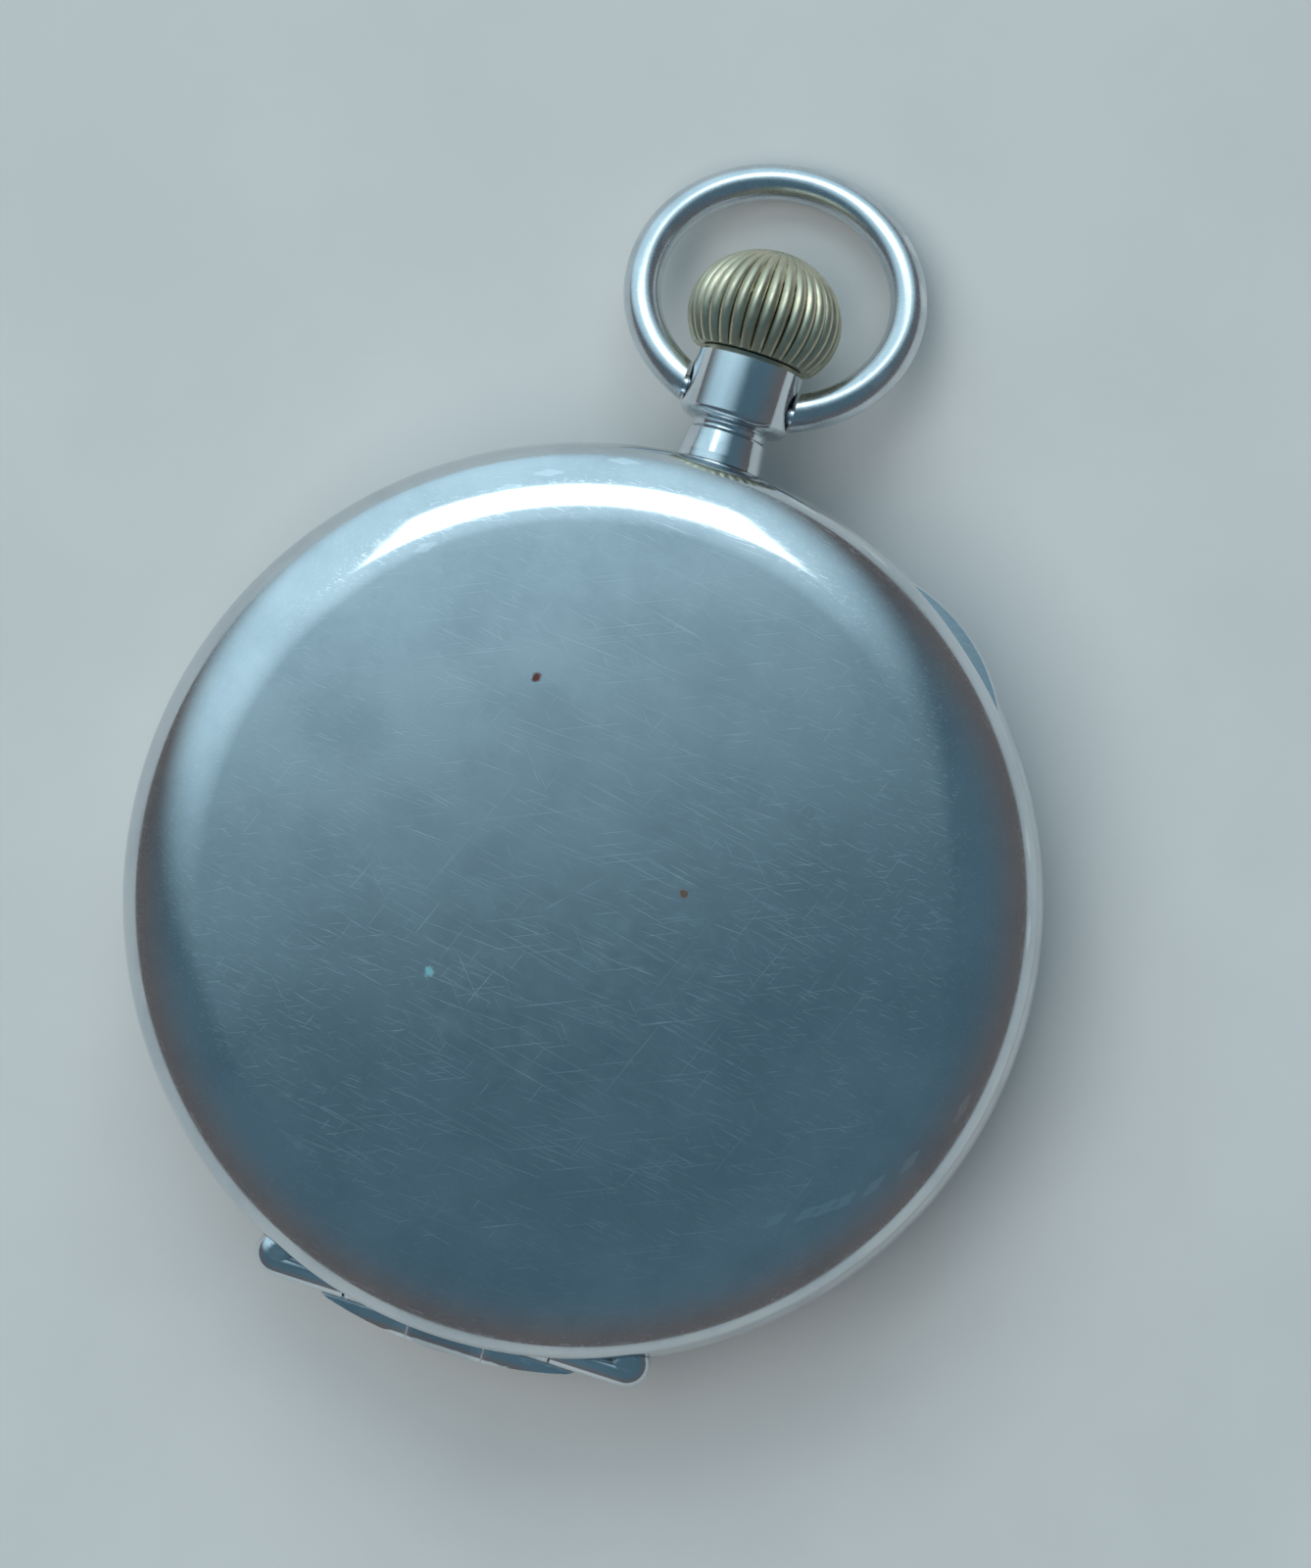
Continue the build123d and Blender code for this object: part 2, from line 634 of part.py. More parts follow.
# ---- winding stem ----
with BuildPart() as winding_stem:
    turned(10.0, 12.3, 0.4)
    with BuildSketch(across(12.3)):
        Rectangle(0.96, 0.96)
    extrude(amount=3.9)
    turned(16.2, 18.2, 0.75)
    turned(18.2, 19.0, 0.4)
    turned(19.0, 19.6, 0.75)
    turned(19.6, 34.4, 0.6)
winding_stem.part.label = "winding_stem"
export_step(winding_stem.part, "parts/winding_stem.step")

# ---- winding pinion: radial teeth for the crown wheel, ratchet teeth for the clutch ----
WINDING_LOW_Y = WINDING_Y - 0.6
WINDING_HIGH_Y = WINDING_Y + 1.2
with BuildPart() as winding_pinion:
    gear(across(WINDING_Y - 0.35), 0.7, WINDING_TEETH, FACE_MODULE, 0, 0.8)
    turned(WINDING_LOW_Y, WINDING_HIGH_Y, 1.9)
    turned(WINDING_LOW_Y - 1, WINDING_HIGH_Y + 1, 0.8, mode=Mode.SUBTRACT)
winding_pinion.part.label = "winding_pinion"
export_step(winding_pinion.part, "parts/winding_pinion.step")

# ---- sliding clutch on the square of the stem ----
CLUTCH_LOW_Y = 12.6
CLUTCH_TRAVEL = 0.9
STEM_SLOT_Y = CLUTCH_LOW_Y - CLUTCH_TRAVEL - 0.2
CLUTCH_HIGH_Y = WINDING_LOW_Y - 0.05
with BuildPart() as clutch_wheel:
    turned(CLUTCH_LOW_Y + 0.3, CLUTCH_HIGH_Y - 0.3, 2.0)
    turned(CLUTCH_LOW_Y, CLUTCH_HIGH_Y, 1.5)
    turned(13.55, 14.25, 3, mode=Mode.SUBTRACT)
    turned(13.5, 14.3, 1.3)
    for low_y in (CLUTCH_LOW_Y, CLUTCH_HIGH_Y - 0.3):
        with BuildSketch(across(low_y)) as teeth:
            with PolarLocations(1.7, 14):
                Rectangle(0.6, 0.25)
        extrude(teeth.sketch, amount=0.3)
    with BuildSketch(across(CLUTCH_LOW_Y - 0.1)):
        Rectangle(1.02, 1.02)
    extrude(amount=4, mode=Mode.SUBTRACT)
clutch_wheel.part.label = "clutch_wheel"
export_step(clutch_wheel.part, "parts/clutch_wheel.step")

# ---- main plate ----
with BuildPart() as main_plate:
    disc(CENTRE, PLATE_R, PLATE_FRONT_Z, PLATE_BACK_Z)
    # recess for the motion work and the setting wheel, on the dial side
    disc(CENTRE, 3.2, PLATE_FRONT_Z, RECESS_Z, mode=Mode.SUBTRACT)
    disc(MINUTE_WHEEL, 3.2, PLATE_FRONT_Z, RECESS_Z, mode=Mode.SUBTRACT)
    disc(SETTING_WHEEL, 3.4, PLATE_FRONT_Z, RECESS_Z, mode=Mode.SUBTRACT)
    # slot for the winding pinion, the clutch and the stem
    block((-2.9, STEM_SLOT_Y, PLATE_FRONT_Z), (2.9, 22, PLATE_BACK_Z + 2), mode=Mode.SUBTRACT)
    # recesses for the setting lever and the yoke
    block((-1.0, 17.5, PLATE_FRONT_Z), (6.4, 20.2, 4.6), mode=Mode.SUBTRACT)
    block((-7.4, 12.3, PLATE_FRONT_Z), (1.0, 15.2, 4.6), mode=Mode.SUBTRACT)
    # bearing of the stem's pilot
    block((-1.2, 10.4, PLATE_BACK_Z - 0.5), (1.2, 11.5, 7.4))
    turned(9.6, 12, 0.45, mode=Mode.SUBTRACT)
    # posts of the minute wheel, the setting wheel, the setting lever and the yoke
    disc(MINUTE_WHEEL, 0.3, PLATE_FRONT_Z + 0.1, RECESS_Z + 0.2)
    disc(SETTING_WHEEL, 0.4, 4.2, RECESS_Z + 0.2)
    disc(YOKE, 0.4, PLATE_FRONT_Z + 0.1, 4.7)
    disc(SETTING_LEVER, 0.4, PLATE_FRONT_Z + 0.1, 4.7)
    # bearing holes
    disc(CENTRE, 0.55, PLATE_FRONT_Z, PLATE_BACK_Z, mode=Mode.SUBTRACT)
    disc(FOURTH, 0.6, PLATE_FRONT_Z, PLATE_BACK_Z, mode=Mode.SUBTRACT)
    disc(BARREL, 0.75, PLATE_FRONT_Z, PLATE_BACK_Z, mode=Mode.SUBTRACT)
    for arbor in (THIRD, ESCAPE, PALLET, BALANCE):
        disc(arbor, 0.6, PLATE_FRONT_Z, PLATE_BACK_Z, mode=Mode.SUBTRACT)
    for place in BRIDGE_SCREWS + [COCK_FOOT, PALLET_SCREW]:
        disc(place, 0.5, PLATE_FRONT_Z + 0.4, PLATE_BACK_Z, mode=Mode.SUBTRACT)
    for place in CASE_SCREWS:
        disc(place, 0.45, PLATE_FRONT_Z + 0.4, PLATE_BACK_Z, mode=Mode.SUBTRACT)
    for angle in (15, 130, 250):
        disc(polar(CENTRE, 18.6, angle), 0.42, PLATE_FRONT_Z, 5.3, mode=Mode.SUBTRACT)
main_plate.part.label = "main_plate"
export_step(main_plate.part, "parts/main_plate.step")

# ---- barrel bridge ----
with BuildPart() as barrel_bridge:
    with BuildSketch(Plane.XY.offset(BRIDGE_Z)):
        Circle(BRIDGE_R)
        with Locations((0, BRIDGE_SPLIT_Y)):
            Rectangle(60, 60, align=(Align.CENTER, Align.MAX), mode=Mode.SUBTRACT)
        with Locations(BALANCE):
            Circle(BALANCE_CLEAR_R, mode=Mode.SUBTRACT)
        with Locations(COCK_FOOT):
            Circle(2.9, mode=Mode.SUBTRACT)
    extrude(amount=BRIDGE_TOP_Z - BRIDGE_Z)
    with BuildSketch(Plane.XY.offset(PLATE_BACK_Z)) as wall:
        Circle(BRIDGE_R)
        Circle(BRIDGE_WALL_R, mode=Mode.SUBTRACT)
        with Locations((0, BRIDGE_SPLIT_Y)):
            Rectangle(60, 60, align=(Align.CENTER, Align.MAX), mode=Mode.SUBTRACT)
        with Locations(BALANCE):
            Circle(BALANCE_CLEAR_R, mode=Mode.SUBTRACT)
        with Locations(COCK_FOOT):
            Circle(2.9, mode=Mode.SUBTRACT)
    extrude(wall.sketch, amount=BRIDGE_Z - PLATE_BACK_Z)
    block((-2.9, STEM_SLOT_Y, PLATE_BACK_Z), (2.9, 20, BRIDGE_Z), mode=Mode.SUBTRACT)
    block((-1.9, WINDING_Y - 0.9, BRIDGE_Z), (1.9, WINDING_Y + 1.6, BRIDGE_TOP_Z), mode=Mode.SUBTRACT)
    # groove for the face teeth of the crown wheel
    with BuildSketch(at(CROWN_WHEEL, BRIDGE_Z + 0.2)) as groove:
        Circle(3.4)
        Circle(2.35, mode=Mode.SUBTRACT)
    extrude(groove.sketch, amount=1, mode=Mode.SUBTRACT)
    disc(CENTRE, 0.6, BRIDGE_Z, BRIDGE_TOP_Z, mode=Mode.SUBTRACT)
    disc(BARREL, 0.75, BRIDGE_Z, BRIDGE_TOP_Z, mode=Mode.SUBTRACT)
    disc(CROWN_WHEEL, 0.5, BRIDGE_Z, BRIDGE_TOP_Z, mode=Mode.SUBTRACT)
    for place in BRIDGE_SCREWS[:2]:
        disc(place, 0.5, PLATE_BACK_Z, BRIDGE_TOP_Z, mode=Mode.SUBTRACT)
    # pivot of the click
    disc(CLICK, 0.45, BRIDGE_TOP_Z, WHEEL_TOP_Z)
barrel_bridge.part.label = "barrel_bridge"
export_step(barrel_bridge.part, "parts/barrel_bridge.step")

# ---- train bridge ----
with BuildPart() as train_bridge:
    for low, high, inner in ((BRIDGE_Z, BRIDGE_TOP_Z, 0), (PLATE_BACK_Z, BRIDGE_Z, BRIDGE_WALL_R)):
        with BuildSketch(Plane.XY.offset(low)) as layer:
            Circle(BRIDGE_R)
            if inner:
                Circle(inner, mode=Mode.SUBTRACT)
            with Locations((0, BRIDGE_SPLIT_Y - 0.3)):
                Rectangle(60, 60, align=(Align.CENTER, Align.MIN), mode=Mode.SUBTRACT)
            with Locations(BALANCE):
                Circle(BALANCE_CLEAR_R, mode=Mode.SUBTRACT)
            with Locations((20.3, -12)):
                Rectangle(25, 24, mode=Mode.SUBTRACT)
        extrude(layer.sketch, amount=high - low)
    for arbor in (THIRD, FOURTH, ESCAPE):
        disc(arbor, 0.6, BRIDGE_Z, BRIDGE_TOP_Z, mode=Mode.SUBTRACT)
    for place in BRIDGE_SCREWS[2:]:
        disc(place, 0.5, PLATE_BACK_Z, BRIDGE_TOP_Z, mode=Mode.SUBTRACT)
train_bridge.part.label = "train_bridge"
export_step(train_bridge.part, "parts/train_bridge.step")

# ---- pallet cock ----
PALLET_COCK_Z = 7.35
PALLET_COCK_TOP_Z = 7.85
with BuildPart() as pallet_cock:
    hull_plate([(PALLET, 0.95), (PALLET_SCREW, 1.3)], PALLET_COCK_Z, PALLET_COCK_TOP_Z)
    disc(PALLET_SCREW, 1.3, PLATE_BACK_Z, PALLET_COCK_Z)
    disc(PALLET_SCREW, 0.5, PLATE_BACK_Z, PALLET_COCK_TOP_Z, mode=Mode.SUBTRACT)
    disc(PALLET_SCREW, 0.85, PALLET_COCK_Z + 0.2, PALLET_COCK_TOP_Z, mode=Mode.SUBTRACT)
    disc(PALLET, 0.5, PALLET_COCK_Z, PALLET_COCK_TOP_Z, mode=Mode.SUBTRACT)
pallet_cock.part.label = "pallet_cock"
export_step(pallet_cock.part, "parts/pallet_cock.step")

# ---- balance cock ----
COCK_Z = 9.65
COCK_TOP_Z = 10.25
with BuildPart() as balance_cock:
    hull_plate([(COCK_FOOT, 2.4), (BALANCE, 1.9)], COCK_Z, COCK_TOP_Z)
    disc(COCK_FOOT, 2.4, PLATE_BACK_Z, COCK_Z)
    disc(COCK_FOOT, 0.5, PLATE_BACK_Z, COCK_TOP_Z, mode=Mode.SUBTRACT)
    disc(BALANCE, 0.6, COCK_Z, COCK_TOP_Z, mode=Mode.SUBTRACT)
balance_cock.part.label = "balance_cock"
export_step(balance_cock.part, "parts/balance_cock.step")

# ---- screws ----
with BuildPart() as case_screws:
    for place in CASE_SCREWS:
        screw(place, 4.4, LEDGE_TOP_Z, LEDGE_TOP_Z + 0.45, 0.45, 1.0)
case_screws.part.label = "case_screws"
export_step(case_screws.part, "parts/case_screws.step")

with BuildPart() as bridge_screws:
    for place in BRIDGE_SCREWS:
        screw(place, 4.6, BRIDGE_TOP_Z, BRIDGE_TOP_Z + 0.4, 0.48, 0.9)
bridge_screws.part.label = "bridge_screws"
export_step(bridge_screws.part, "parts/bridge_screws.step")

with BuildPart() as cock_screws:
    screw(COCK_FOOT, 4.6, COCK_TOP_Z, COCK_TOP_Z + 0.35, 0.48, 1.0)
    screw(PALLET_SCREW, 4.6, PALLET_COCK_Z + 0.2, PALLET_COCK_TOP_Z, 0.48, 0.8)
cock_screws.part.label = "cock_screws"
export_step(cock_screws.part, "parts/cock_screws.step")

# ---- jewels ----
PIVOTS = {"third": 0.12, "fourth": 0.12, "escape": 0.1, "pallet": 0.1, "balance": 0.1}


def jewel(point, low, high, pivot_r, outer=0.6):
    """A ring jewel with 0.02 of play round its pivot."""
    disc(point, outer, low, high)
    disc(point, pivot_r + 0.02, low - 0.1, high + 0.1, mode=Mode.SUBTRACT)


with BuildPart() as plate_jewels:
    jewel(THIRD, 5.6, PLATE_BACK_Z, PIVOTS["third"])
    jewel(FOURTH, 5.6, PLATE_BACK_Z, 0.2)
    jewel(ESCAPE, 5.6, PLATE_BACK_Z, PIVOTS["escape"])
    jewel(PALLET, 5.6, PLATE_BACK_Z, PIVOTS["pallet"])
    jewel(BALANCE, 5.6, PLATE_BACK_Z, PIVOTS["balance"])
plate_jewels.part.label = "plate_jewels"
export_step(plate_jewels.part, "parts/plate_jewels.step")

with BuildPart() as bridge_jewels:
    jewel(CENTRE, 8.9, 9.3, 0.25)
    jewel(THIRD, 8.9, 9.3, PIVOTS["third"])
    jewel(FOURTH, 8.9, 9.3, PIVOTS["fourth"])
    jewel(ESCAPE, 8.9, 9.3, PIVOTS["escape"])
    jewel(PALLET, PALLET_COCK_Z + 0.1, PALLET_COCK_TOP_Z, PIVOTS["pallet"], 0.5)
    jewel(BALANCE, COCK_Z + 0.1, COCK_TOP_Z, PIVOTS["balance"])
bridge_jewels.part.label = "bridge_jewels"
export_step(bridge_jewels.part, "parts/bridge_jewels.step")

with BuildPart() as cap_jewel:
    disc(BALANCE, 0.95, COCK_TOP_Z, COCK_TOP_Z + 0.35)
    chamfer(cap_jewel.faces().sort_by(Axis.Z)[-1].edges(), 0.1)
cap_jewel.part.label = "cap_jewel"
export_step(cap_jewel.part, "parts/cap_jewel.step")

# ---- keyless levers ----
with BuildPart() as setting_lever:
    hull_plate([(SETTING_LEVER, 0.95), ((0, SETTING_LEVER[1]), 0.6)], 3.75, 4.3)
    disc((0, SETTING_LEVER[1]), 0.33, 4.3, 5.98)
    disc(SETTING_LEVER, 0.45, 3.6, 4.4, mode=Mode.SUBTRACT)
setting_lever.part.label = "setting_lever"
export_step(setting_lever.part, "parts/setting_lever.step")

with BuildPart() as yoke:
    hull_plate([(YOKE, 0.95), ((0, YOKE[1]), 0.5)], 3.75, 4.25)
    disc((0, YOKE[1]), 0.28, 4.25, 5.05)
    disc(YOKE, 0.45, 3.6, 4.4, mode=Mode.SUBTRACT)
yoke.part.label = "yoke"
export_step(yoke.part, "parts/yoke.step")

# ---- barrel ----
with BuildPart() as barrel_drum:
    disc(BARREL, 6.4, 6.65, 8.4)
    gear(at(BARREL, 8.0), 0.38, BARREL_TEETH, BARREL_MODULE, mesh_turn(BARREL_TEETH, -40, True))
    disc(BARREL, 6.05, 6.65, 8.2, mode=Mode.SUBTRACT)
    disc(BARREL, 0.75, 8, 9, mode=Mode.SUBTRACT)
barrel_drum.part.label = "barrel_drum"
export_step(barrel_drum.part, "parts/barrel_drum.step")

with BuildPart() as barrel_lid:
    disc(BARREL, 6.04, 6.65, 6.85)
    disc(BARREL, 0.75, 6, 7, mode=Mode.SUBTRACT)
barrel_lid.part.label = "barrel_lid"
export_step(barrel_lid.part, "parts/barrel_lid.step")

with BuildPart() as mainspring:
    spiral(BARREL, 6.95, 8.1, 1.65, 0.42, 20, 0.16)
mainspring.part.label = "mainspring"
export_step(mainspring.part, "parts/mainspring.step")

with BuildPart() as barrel_arbor:
    disc(BARREL, 0.7, 4.2, BRIDGE_TOP_Z)
    disc(BARREL, 1.5, 6.95, 8.1)
    with BuildSketch(at(BARREL, BRIDGE_TOP_Z)):
        Rectangle(0.9, 0.9)
    extrude(amount=0.45)
    disc(BARREL, 0.25, BRIDGE_TOP_Z - 1.2, WHEEL_TOP_Z, mode=Mode.SUBTRACT)
barrel_arbor.part.label = "barrel_arbor"
export_step(barrel_arbor.part, "parts/barrel_arbor.step")

TO_CROWN = heading(BARREL, CROWN_WHEEL)
with BuildPart() as ratchet_wheel:
    turn = mesh_turn(RATCHET_TEETH, TO_CROWN)
    gear(at(BARREL, BRIDGE_TOP_Z + 0.02), 0.48, RATCHET_TEETH, RATCHET_MODULE, turn)
    with BuildSketch(at(BARREL, BRIDGE_TOP_Z)):
        Rectangle(0.9, 0.9)
    extrude(amount=1, mode=Mode.SUBTRACT)
ratchet_wheel.part.label = "ratchet_wheel"
export_step(ratchet_wheel.part, "parts/ratchet_wheel.step")

with BuildPart() as ratchet_screw:
    screw(BARREL, BRIDGE_TOP_Z - 1, WHEEL_TOP_Z, WHEEL_TOP_Z + 0.4, 0.25, 1.5, 0.3)
ratchet_screw.part.label = "ratchet_screw"
export_step(ratchet_screw.part, "parts/ratchet_screw.step")

# ---- crown wheel with face teeth below ----
with BuildPart() as crown_wheel:
    turn = mesh_turn(CROWN_WHEEL_TEETH, TO_CROWN + 180, True)
    gear(at(CROWN_WHEEL, BRIDGE_TOP_Z + 0.02), 0.48, CROWN_WHEEL_TEETH, RATCHET_MODULE, turn)
    with BuildSketch(at(CROWN_WHEEL, 8.97)) as face_teeth:
        with PolarLocations(2.88, FACE_TEETH, start_angle=90 + 180 / FACE_TEETH):
            Rectangle(0.5, 0.26)
    extrude(face_teeth.sketch, amount=BRIDGE_TOP_Z + 0.1 - 8.97)
    disc(CROWN_WHEEL, 0.75, 9, 10, mode=Mode.SUBTRACT)
crown_wheel.part.label = "crown_wheel"
export_step(crown_wheel.part, "parts/crown_wheel.step")

with BuildPart() as crown_wheel_screw:
    disc(CROWN_WHEEL, 0.7, BRIDGE_TOP_Z, WHEEL_TOP_Z + 0.03)
    screw(CROWN_WHEEL, BRIDGE_Z + 0.1, WHEEL_TOP_Z + 0.03, WHEEL_TOP_Z + 0.4, 0.48, 1.4, 0.3)
crown_wheel_screw.part.label = "crown_wheel_screw"
export_step(crown_wheel_screw.part, "parts/crown_wheel_screw.step")

# ---- click and its spring ----
with BuildPart() as click:
    hull_plate([(CLICK, 1.0), (CLICK_TIP, 0.28)], BRIDGE_TOP_Z + 0.02, WHEEL_TOP_Z - 0.05)
    disc(CLICK, 0.5, 9, 10, mode=Mode.SUBTRACT)
click.part.label = "click"
export_step(click.part, "parts/click.step")

SPRING_FOOT = polar(CLICK, 3.4, 250)
with BuildPart() as click_spring:
    hull_plate([(SPRING_FOOT, 0.7), (polar(CLICK, 1.4, 200), 0.13)], BRIDGE_TOP_Z + 0.02, WHEEL_TOP_Z - 0.15)
click_spring.part.label = "click_spring"
export_step(click_spring.part, "parts/click_spring.step")

# ---- centre wheel, its pinion and arbor ----
with BuildPart() as centre_wheel:
    disc(CENTRE, 0.42, 1.85, 8.75)
    disc(CENTRE, 0.23, 8.75, 9.3)
    gear(at(CENTRE, 7.2), 1.25, CENTRE_PINION_TEETH, BARREL_MODULE, mesh_turn(CENTRE_PINION_TEETH, 140))
    turn = mesh_turn(CENTRE_TEETH, heading(CENTRE, THIRD), True)
    gear(at(CENTRE, 6.15), 0.25, CENTRE_TEETH, CENTRE_MODULE, turn)
    spokes(CENTRE, 6.15, 0.25, 1.1, 4.3, 5, 0.6)
centre_wheel.part.label = "centre_wheel"
export_step(centre_wheel.part, "parts/centre_wheel.step")

# ---- third wheel ----
with BuildPart() as third_wheel:
    disc(THIRD, PIVOTS["third"], 5.6, 9.3)
    disc(THIRD, 0.3, 6.05, 8.8)
    gear(at(THIRD, 6.08), 0.75, THIRD_PINION_TEETH, CENTRE_MODULE, mesh_turn(8, heading(THIRD, CENTRE)))
    turn = mesh_turn(THIRD_TEETH, heading(THIRD, FOURTH), True)
    gear(at(THIRD, 7.2), 0.25, THIRD_TEETH, THIRD_MODULE, turn)
    spokes(THIRD, 7.2, 0.25, 0.8, 3.5, 5, 0.5)
third_wheel.part.label = "third_wheel"
export_step(third_wheel.part, "parts/third_wheel.step")

# ---- fourth wheel, whose arbor carries the seconds hand ----
with BuildPart() as fourth_wheel:
    disc(FOURTH, 0.2, 2.6, 6.05)
    disc(FOURTH, PIVOTS["fourth"], 6.05, 9.3)
    disc(FOURTH, 0.3, 6.05, 8.8)
    gear(at(FOURTH, 6.95), 0.75, FOURTH_PINION_TEETH, THIRD_MODULE, mesh_turn(8, heading(FOURTH, THIRD)))
    turn = mesh_turn(FOURTH_TEETH, heading(FOURTH, ESCAPE), True)
    gear(at(FOURTH, 7.9), 0.22, FOURTH_TEETH, FOURTH_MODULE, turn)
    spokes(FOURTH, 7.9, 0.22, 0.8, 3.4, 5, 0.45)
fourth_wheel.part.label = "fourth_wheel"
export_step(fourth_wheel.part, "parts/fourth_wheel.step")

# ---- escape wheel with club teeth ----
with BuildPart() as escape_wheel:
    disc(ESCAPE, PIVOTS["escape"], 5.6, 9.3)
    disc(ESCAPE, 0.24, 6.05, 8.8)
    gear(at(ESCAPE, 7.7), 0.65, ESCAPE_PINION_TEETH, FOURTH_MODULE, mesh_turn(7, heading(ESCAPE, FOURTH)))
    disc(ESCAPE, 1.95, 6.6, 6.82)
    with BuildSketch(at(ESCAPE, 6.6)) as club_teeth:
        for tooth in range(ESCAPE_TEETH):
            angle = ESCAPE_LINE + 360 * (tooth + 0.5) / ESCAPE_TEETH
            with BuildLine():
                Polyline(
                    polar(CENTRE, 1.9, angle - 4),
                    polar(CENTRE, 1.9, angle + 6),
                    polar(CENTRE, 2.35, angle + 6.5),
                    polar(CENTRE, ESCAPE_TIP_R - 0.08, angle + 11),
                    polar(CENTRE, ESCAPE_TIP_R, angle + 6.5),
                    close=True,
                )
            make_face()
    extrude(club_teeth.sketch, amount=0.22)
    spokes(ESCAPE, 6.6, 0.22, 0.6, 1.6, 5, 0.25)
escape_wheel.part.label = "escape_wheel"
export_step(escape_wheel.part, "parts/escape_wheel.step")

# ---- pallet fork with two stones ----
STONES = [polar(ESCAPE, ESCAPE_TIP_R + STONE_OFFSET, ESCAPE_LINE + side) for side in (-28, 28)]
with BuildPart() as pallet_fork:
    disc(PALLET, PIVOTS["pallet"], 5.6, PALLET_COCK_TOP_Z)
    disc(PALLET, 0.2, 6.05, PALLET_COCK_Z - 0.05)
    arms = [polar(stone, 0.6, ESCAPE_LINE) for stone in STONES]
    hull_plate([(arms[0], 0.42), (PALLET, 0.45), (arms[1], 0.42)], 6.5, 6.8)
    hull_plate([(PALLET, 0.35), (polar(PALLET, 3.5, ESCAPE_LINE), 0.22)], 6.5, 6.8)
    hull_plate([(polar(PALLET, 3.4, ESCAPE_LINE), 0.5), (polar(PALLET, 4.1, ESCAPE_LINE), 0.5)], 6.5, 6.8)
    with BuildSketch(Plane(polar(PALLET, 4.3, ESCAPE_LINE) + (6.4,)).rotated((0, 0, ESCAPE_LINE))) as notch:
        Rectangle(0.9, 0.36)
    extrude(notch.sketch, amount=0.5, mode=Mode.SUBTRACT)
    for stone, turn in zip(STONES, (-28, 28)):
        with BuildSketch(Plane(stone + (6.4,)).rotated((0, 0, ESCAPE_LINE + turn / 2))) as seat:
            with Locations((STONE_SHIFT, 0)):
                Rectangle(STONE_LENGTH, STONE_WIDTH)
        extrude(seat.sketch, amount=0.5, mode=Mode.SUBTRACT)
pallet_fork.part.label = "pallet_fork"
export_step(pallet_fork.part, "parts/pallet_fork.step")

with BuildPart() as pallet_stones:
    for stone, turn in zip(STONES, (-28, 28)):
        with BuildSketch(Plane(stone + (6.45,)).rotated((0, 0, ESCAPE_LINE + turn / 2))) as body:
            with Locations((STONE_SHIFT, 0)):
                Rectangle(STONE_LENGTH, STONE_WIDTH)
        extrude(body.sketch, amount=0.4)
pallet_stones.part.label = "pallet_stones"
export_step(pallet_stones.part, "parts/pallet_stones.step")

# ---- balance wheel with timing screws, staff, roller, hairspring ----
with BuildPart() as balance_wheel:
    with BuildSketch(at(BALANCE, 8.1)) as rim:
        Circle(BALANCE_R - 0.35)
        Circle(BALANCE_R - 1.0, mode=Mode.SUBTRACT)
    extrude(rim.sketch, amount=0.75)
    with BuildSketch(at(BALANCE, 8.25)) as arms:
        Rectangle(2 * BALANCE_R - 1.6, 0.8)
        Circle(0.9)
        Circle(0.35, mode=Mode.SUBTRACT)
    extrude(arms.sketch, amount=0.3)
balance_wheel.part.label = "balance_wheel"
export_step(balance_wheel.part, "parts/balance_wheel.step")

with BuildPart() as balance_screws:
    for index in range(16):
        away = Vector(1, 0, 0).rotate(Axis.Z, 360 * (index + 0.5) / 16)
        start = Vector(BALANCE[0], BALANCE[1], 8.47) + away * (BALANCE_R - 0.35)
        with BuildSketch(Plane(start, x_dir=(0, 0, 1), z_dir=away)):
            Circle(0.3)
        extrude(amount=0.35)
balance_screws.part.label = "balance_screws"
export_step(balance_screws.part, "parts/balance_screws.step")

with BuildPart() as balance_staff:
    disc(BALANCE, PIVOTS["balance"], 5.6, COCK_TOP_Z)
    disc(BALANCE, 0.35, 6.05, 9.55)
balance_staff.part.label = "balance_staff"
export_step(balance_staff.part, "parts/balance_staff.step")

with BuildPart() as roller:
    disc(BALANCE, 1.15, 7.0, 7.25)
    disc(BALANCE, 0.35, 6.9, 7.3, mode=Mode.SUBTRACT)
    disc(polar(BALANCE, 0.85, ESCAPE_LINE + 180), 0.13, 6.86, 7.0)
roller.part.label = "roller"
export_step(roller.part, "parts/roller.step")

with BuildPart() as hairspring:
    spiral(BALANCE, 9.15, 9.35, 0.75, 0.19, 26, 0.05)
    with BuildSketch(at(BALANCE, 9.1)):
        Circle(0.78)
        Circle(0.36, mode=Mode.SUBTRACT)
    extrude(amount=0.3)
hairspring.part.label = "hairspring"
export_step(hairspring.part, "parts/hairspring.step")

# ---- regulator on the balance cock, stud under it ----
with BuildPart() as regulator:
    hull_plate([(BALANCE, 1.35), (polar(BALANCE, 3.9, -150), 0.18)], COCK_TOP_Z + 0.02, COCK_TOP_Z + 0.22)
    disc(BALANCE, 1.0, COCK_TOP_Z, COCK_TOP_Z + 0.3, mode=Mode.SUBTRACT)
regulator.part.label = "regulator"
export_step(regulator.part, "parts/regulator.step")

with BuildPart() as hairspring_stud:
    disc(polar(BALANCE, 3.75, 56), 0.3, 9.1, COCK_Z)
hairspring_stud.part.label = "hairspring_stud"
export_step(hairspring_stud.part, "parts/hairspring_stud.step")

# ---- motion work ----
with BuildPart() as cannon_pinion:
    disc(CENTRE, 0.75, 1.95, 4.3)
    gear(at(CENTRE, 4.3), 0.45, CANNON_TEETH, MOTION_MODULE, mesh_turn(CANNON_TEETH, 90))
    disc(CENTRE, 0.46, 1.5, 5, mode=Mode.SUBTRACT)
cannon_pinion.part.label = "cannon_pinion"
export_step(cannon_pinion.part, "parts/cannon_pinion.step")

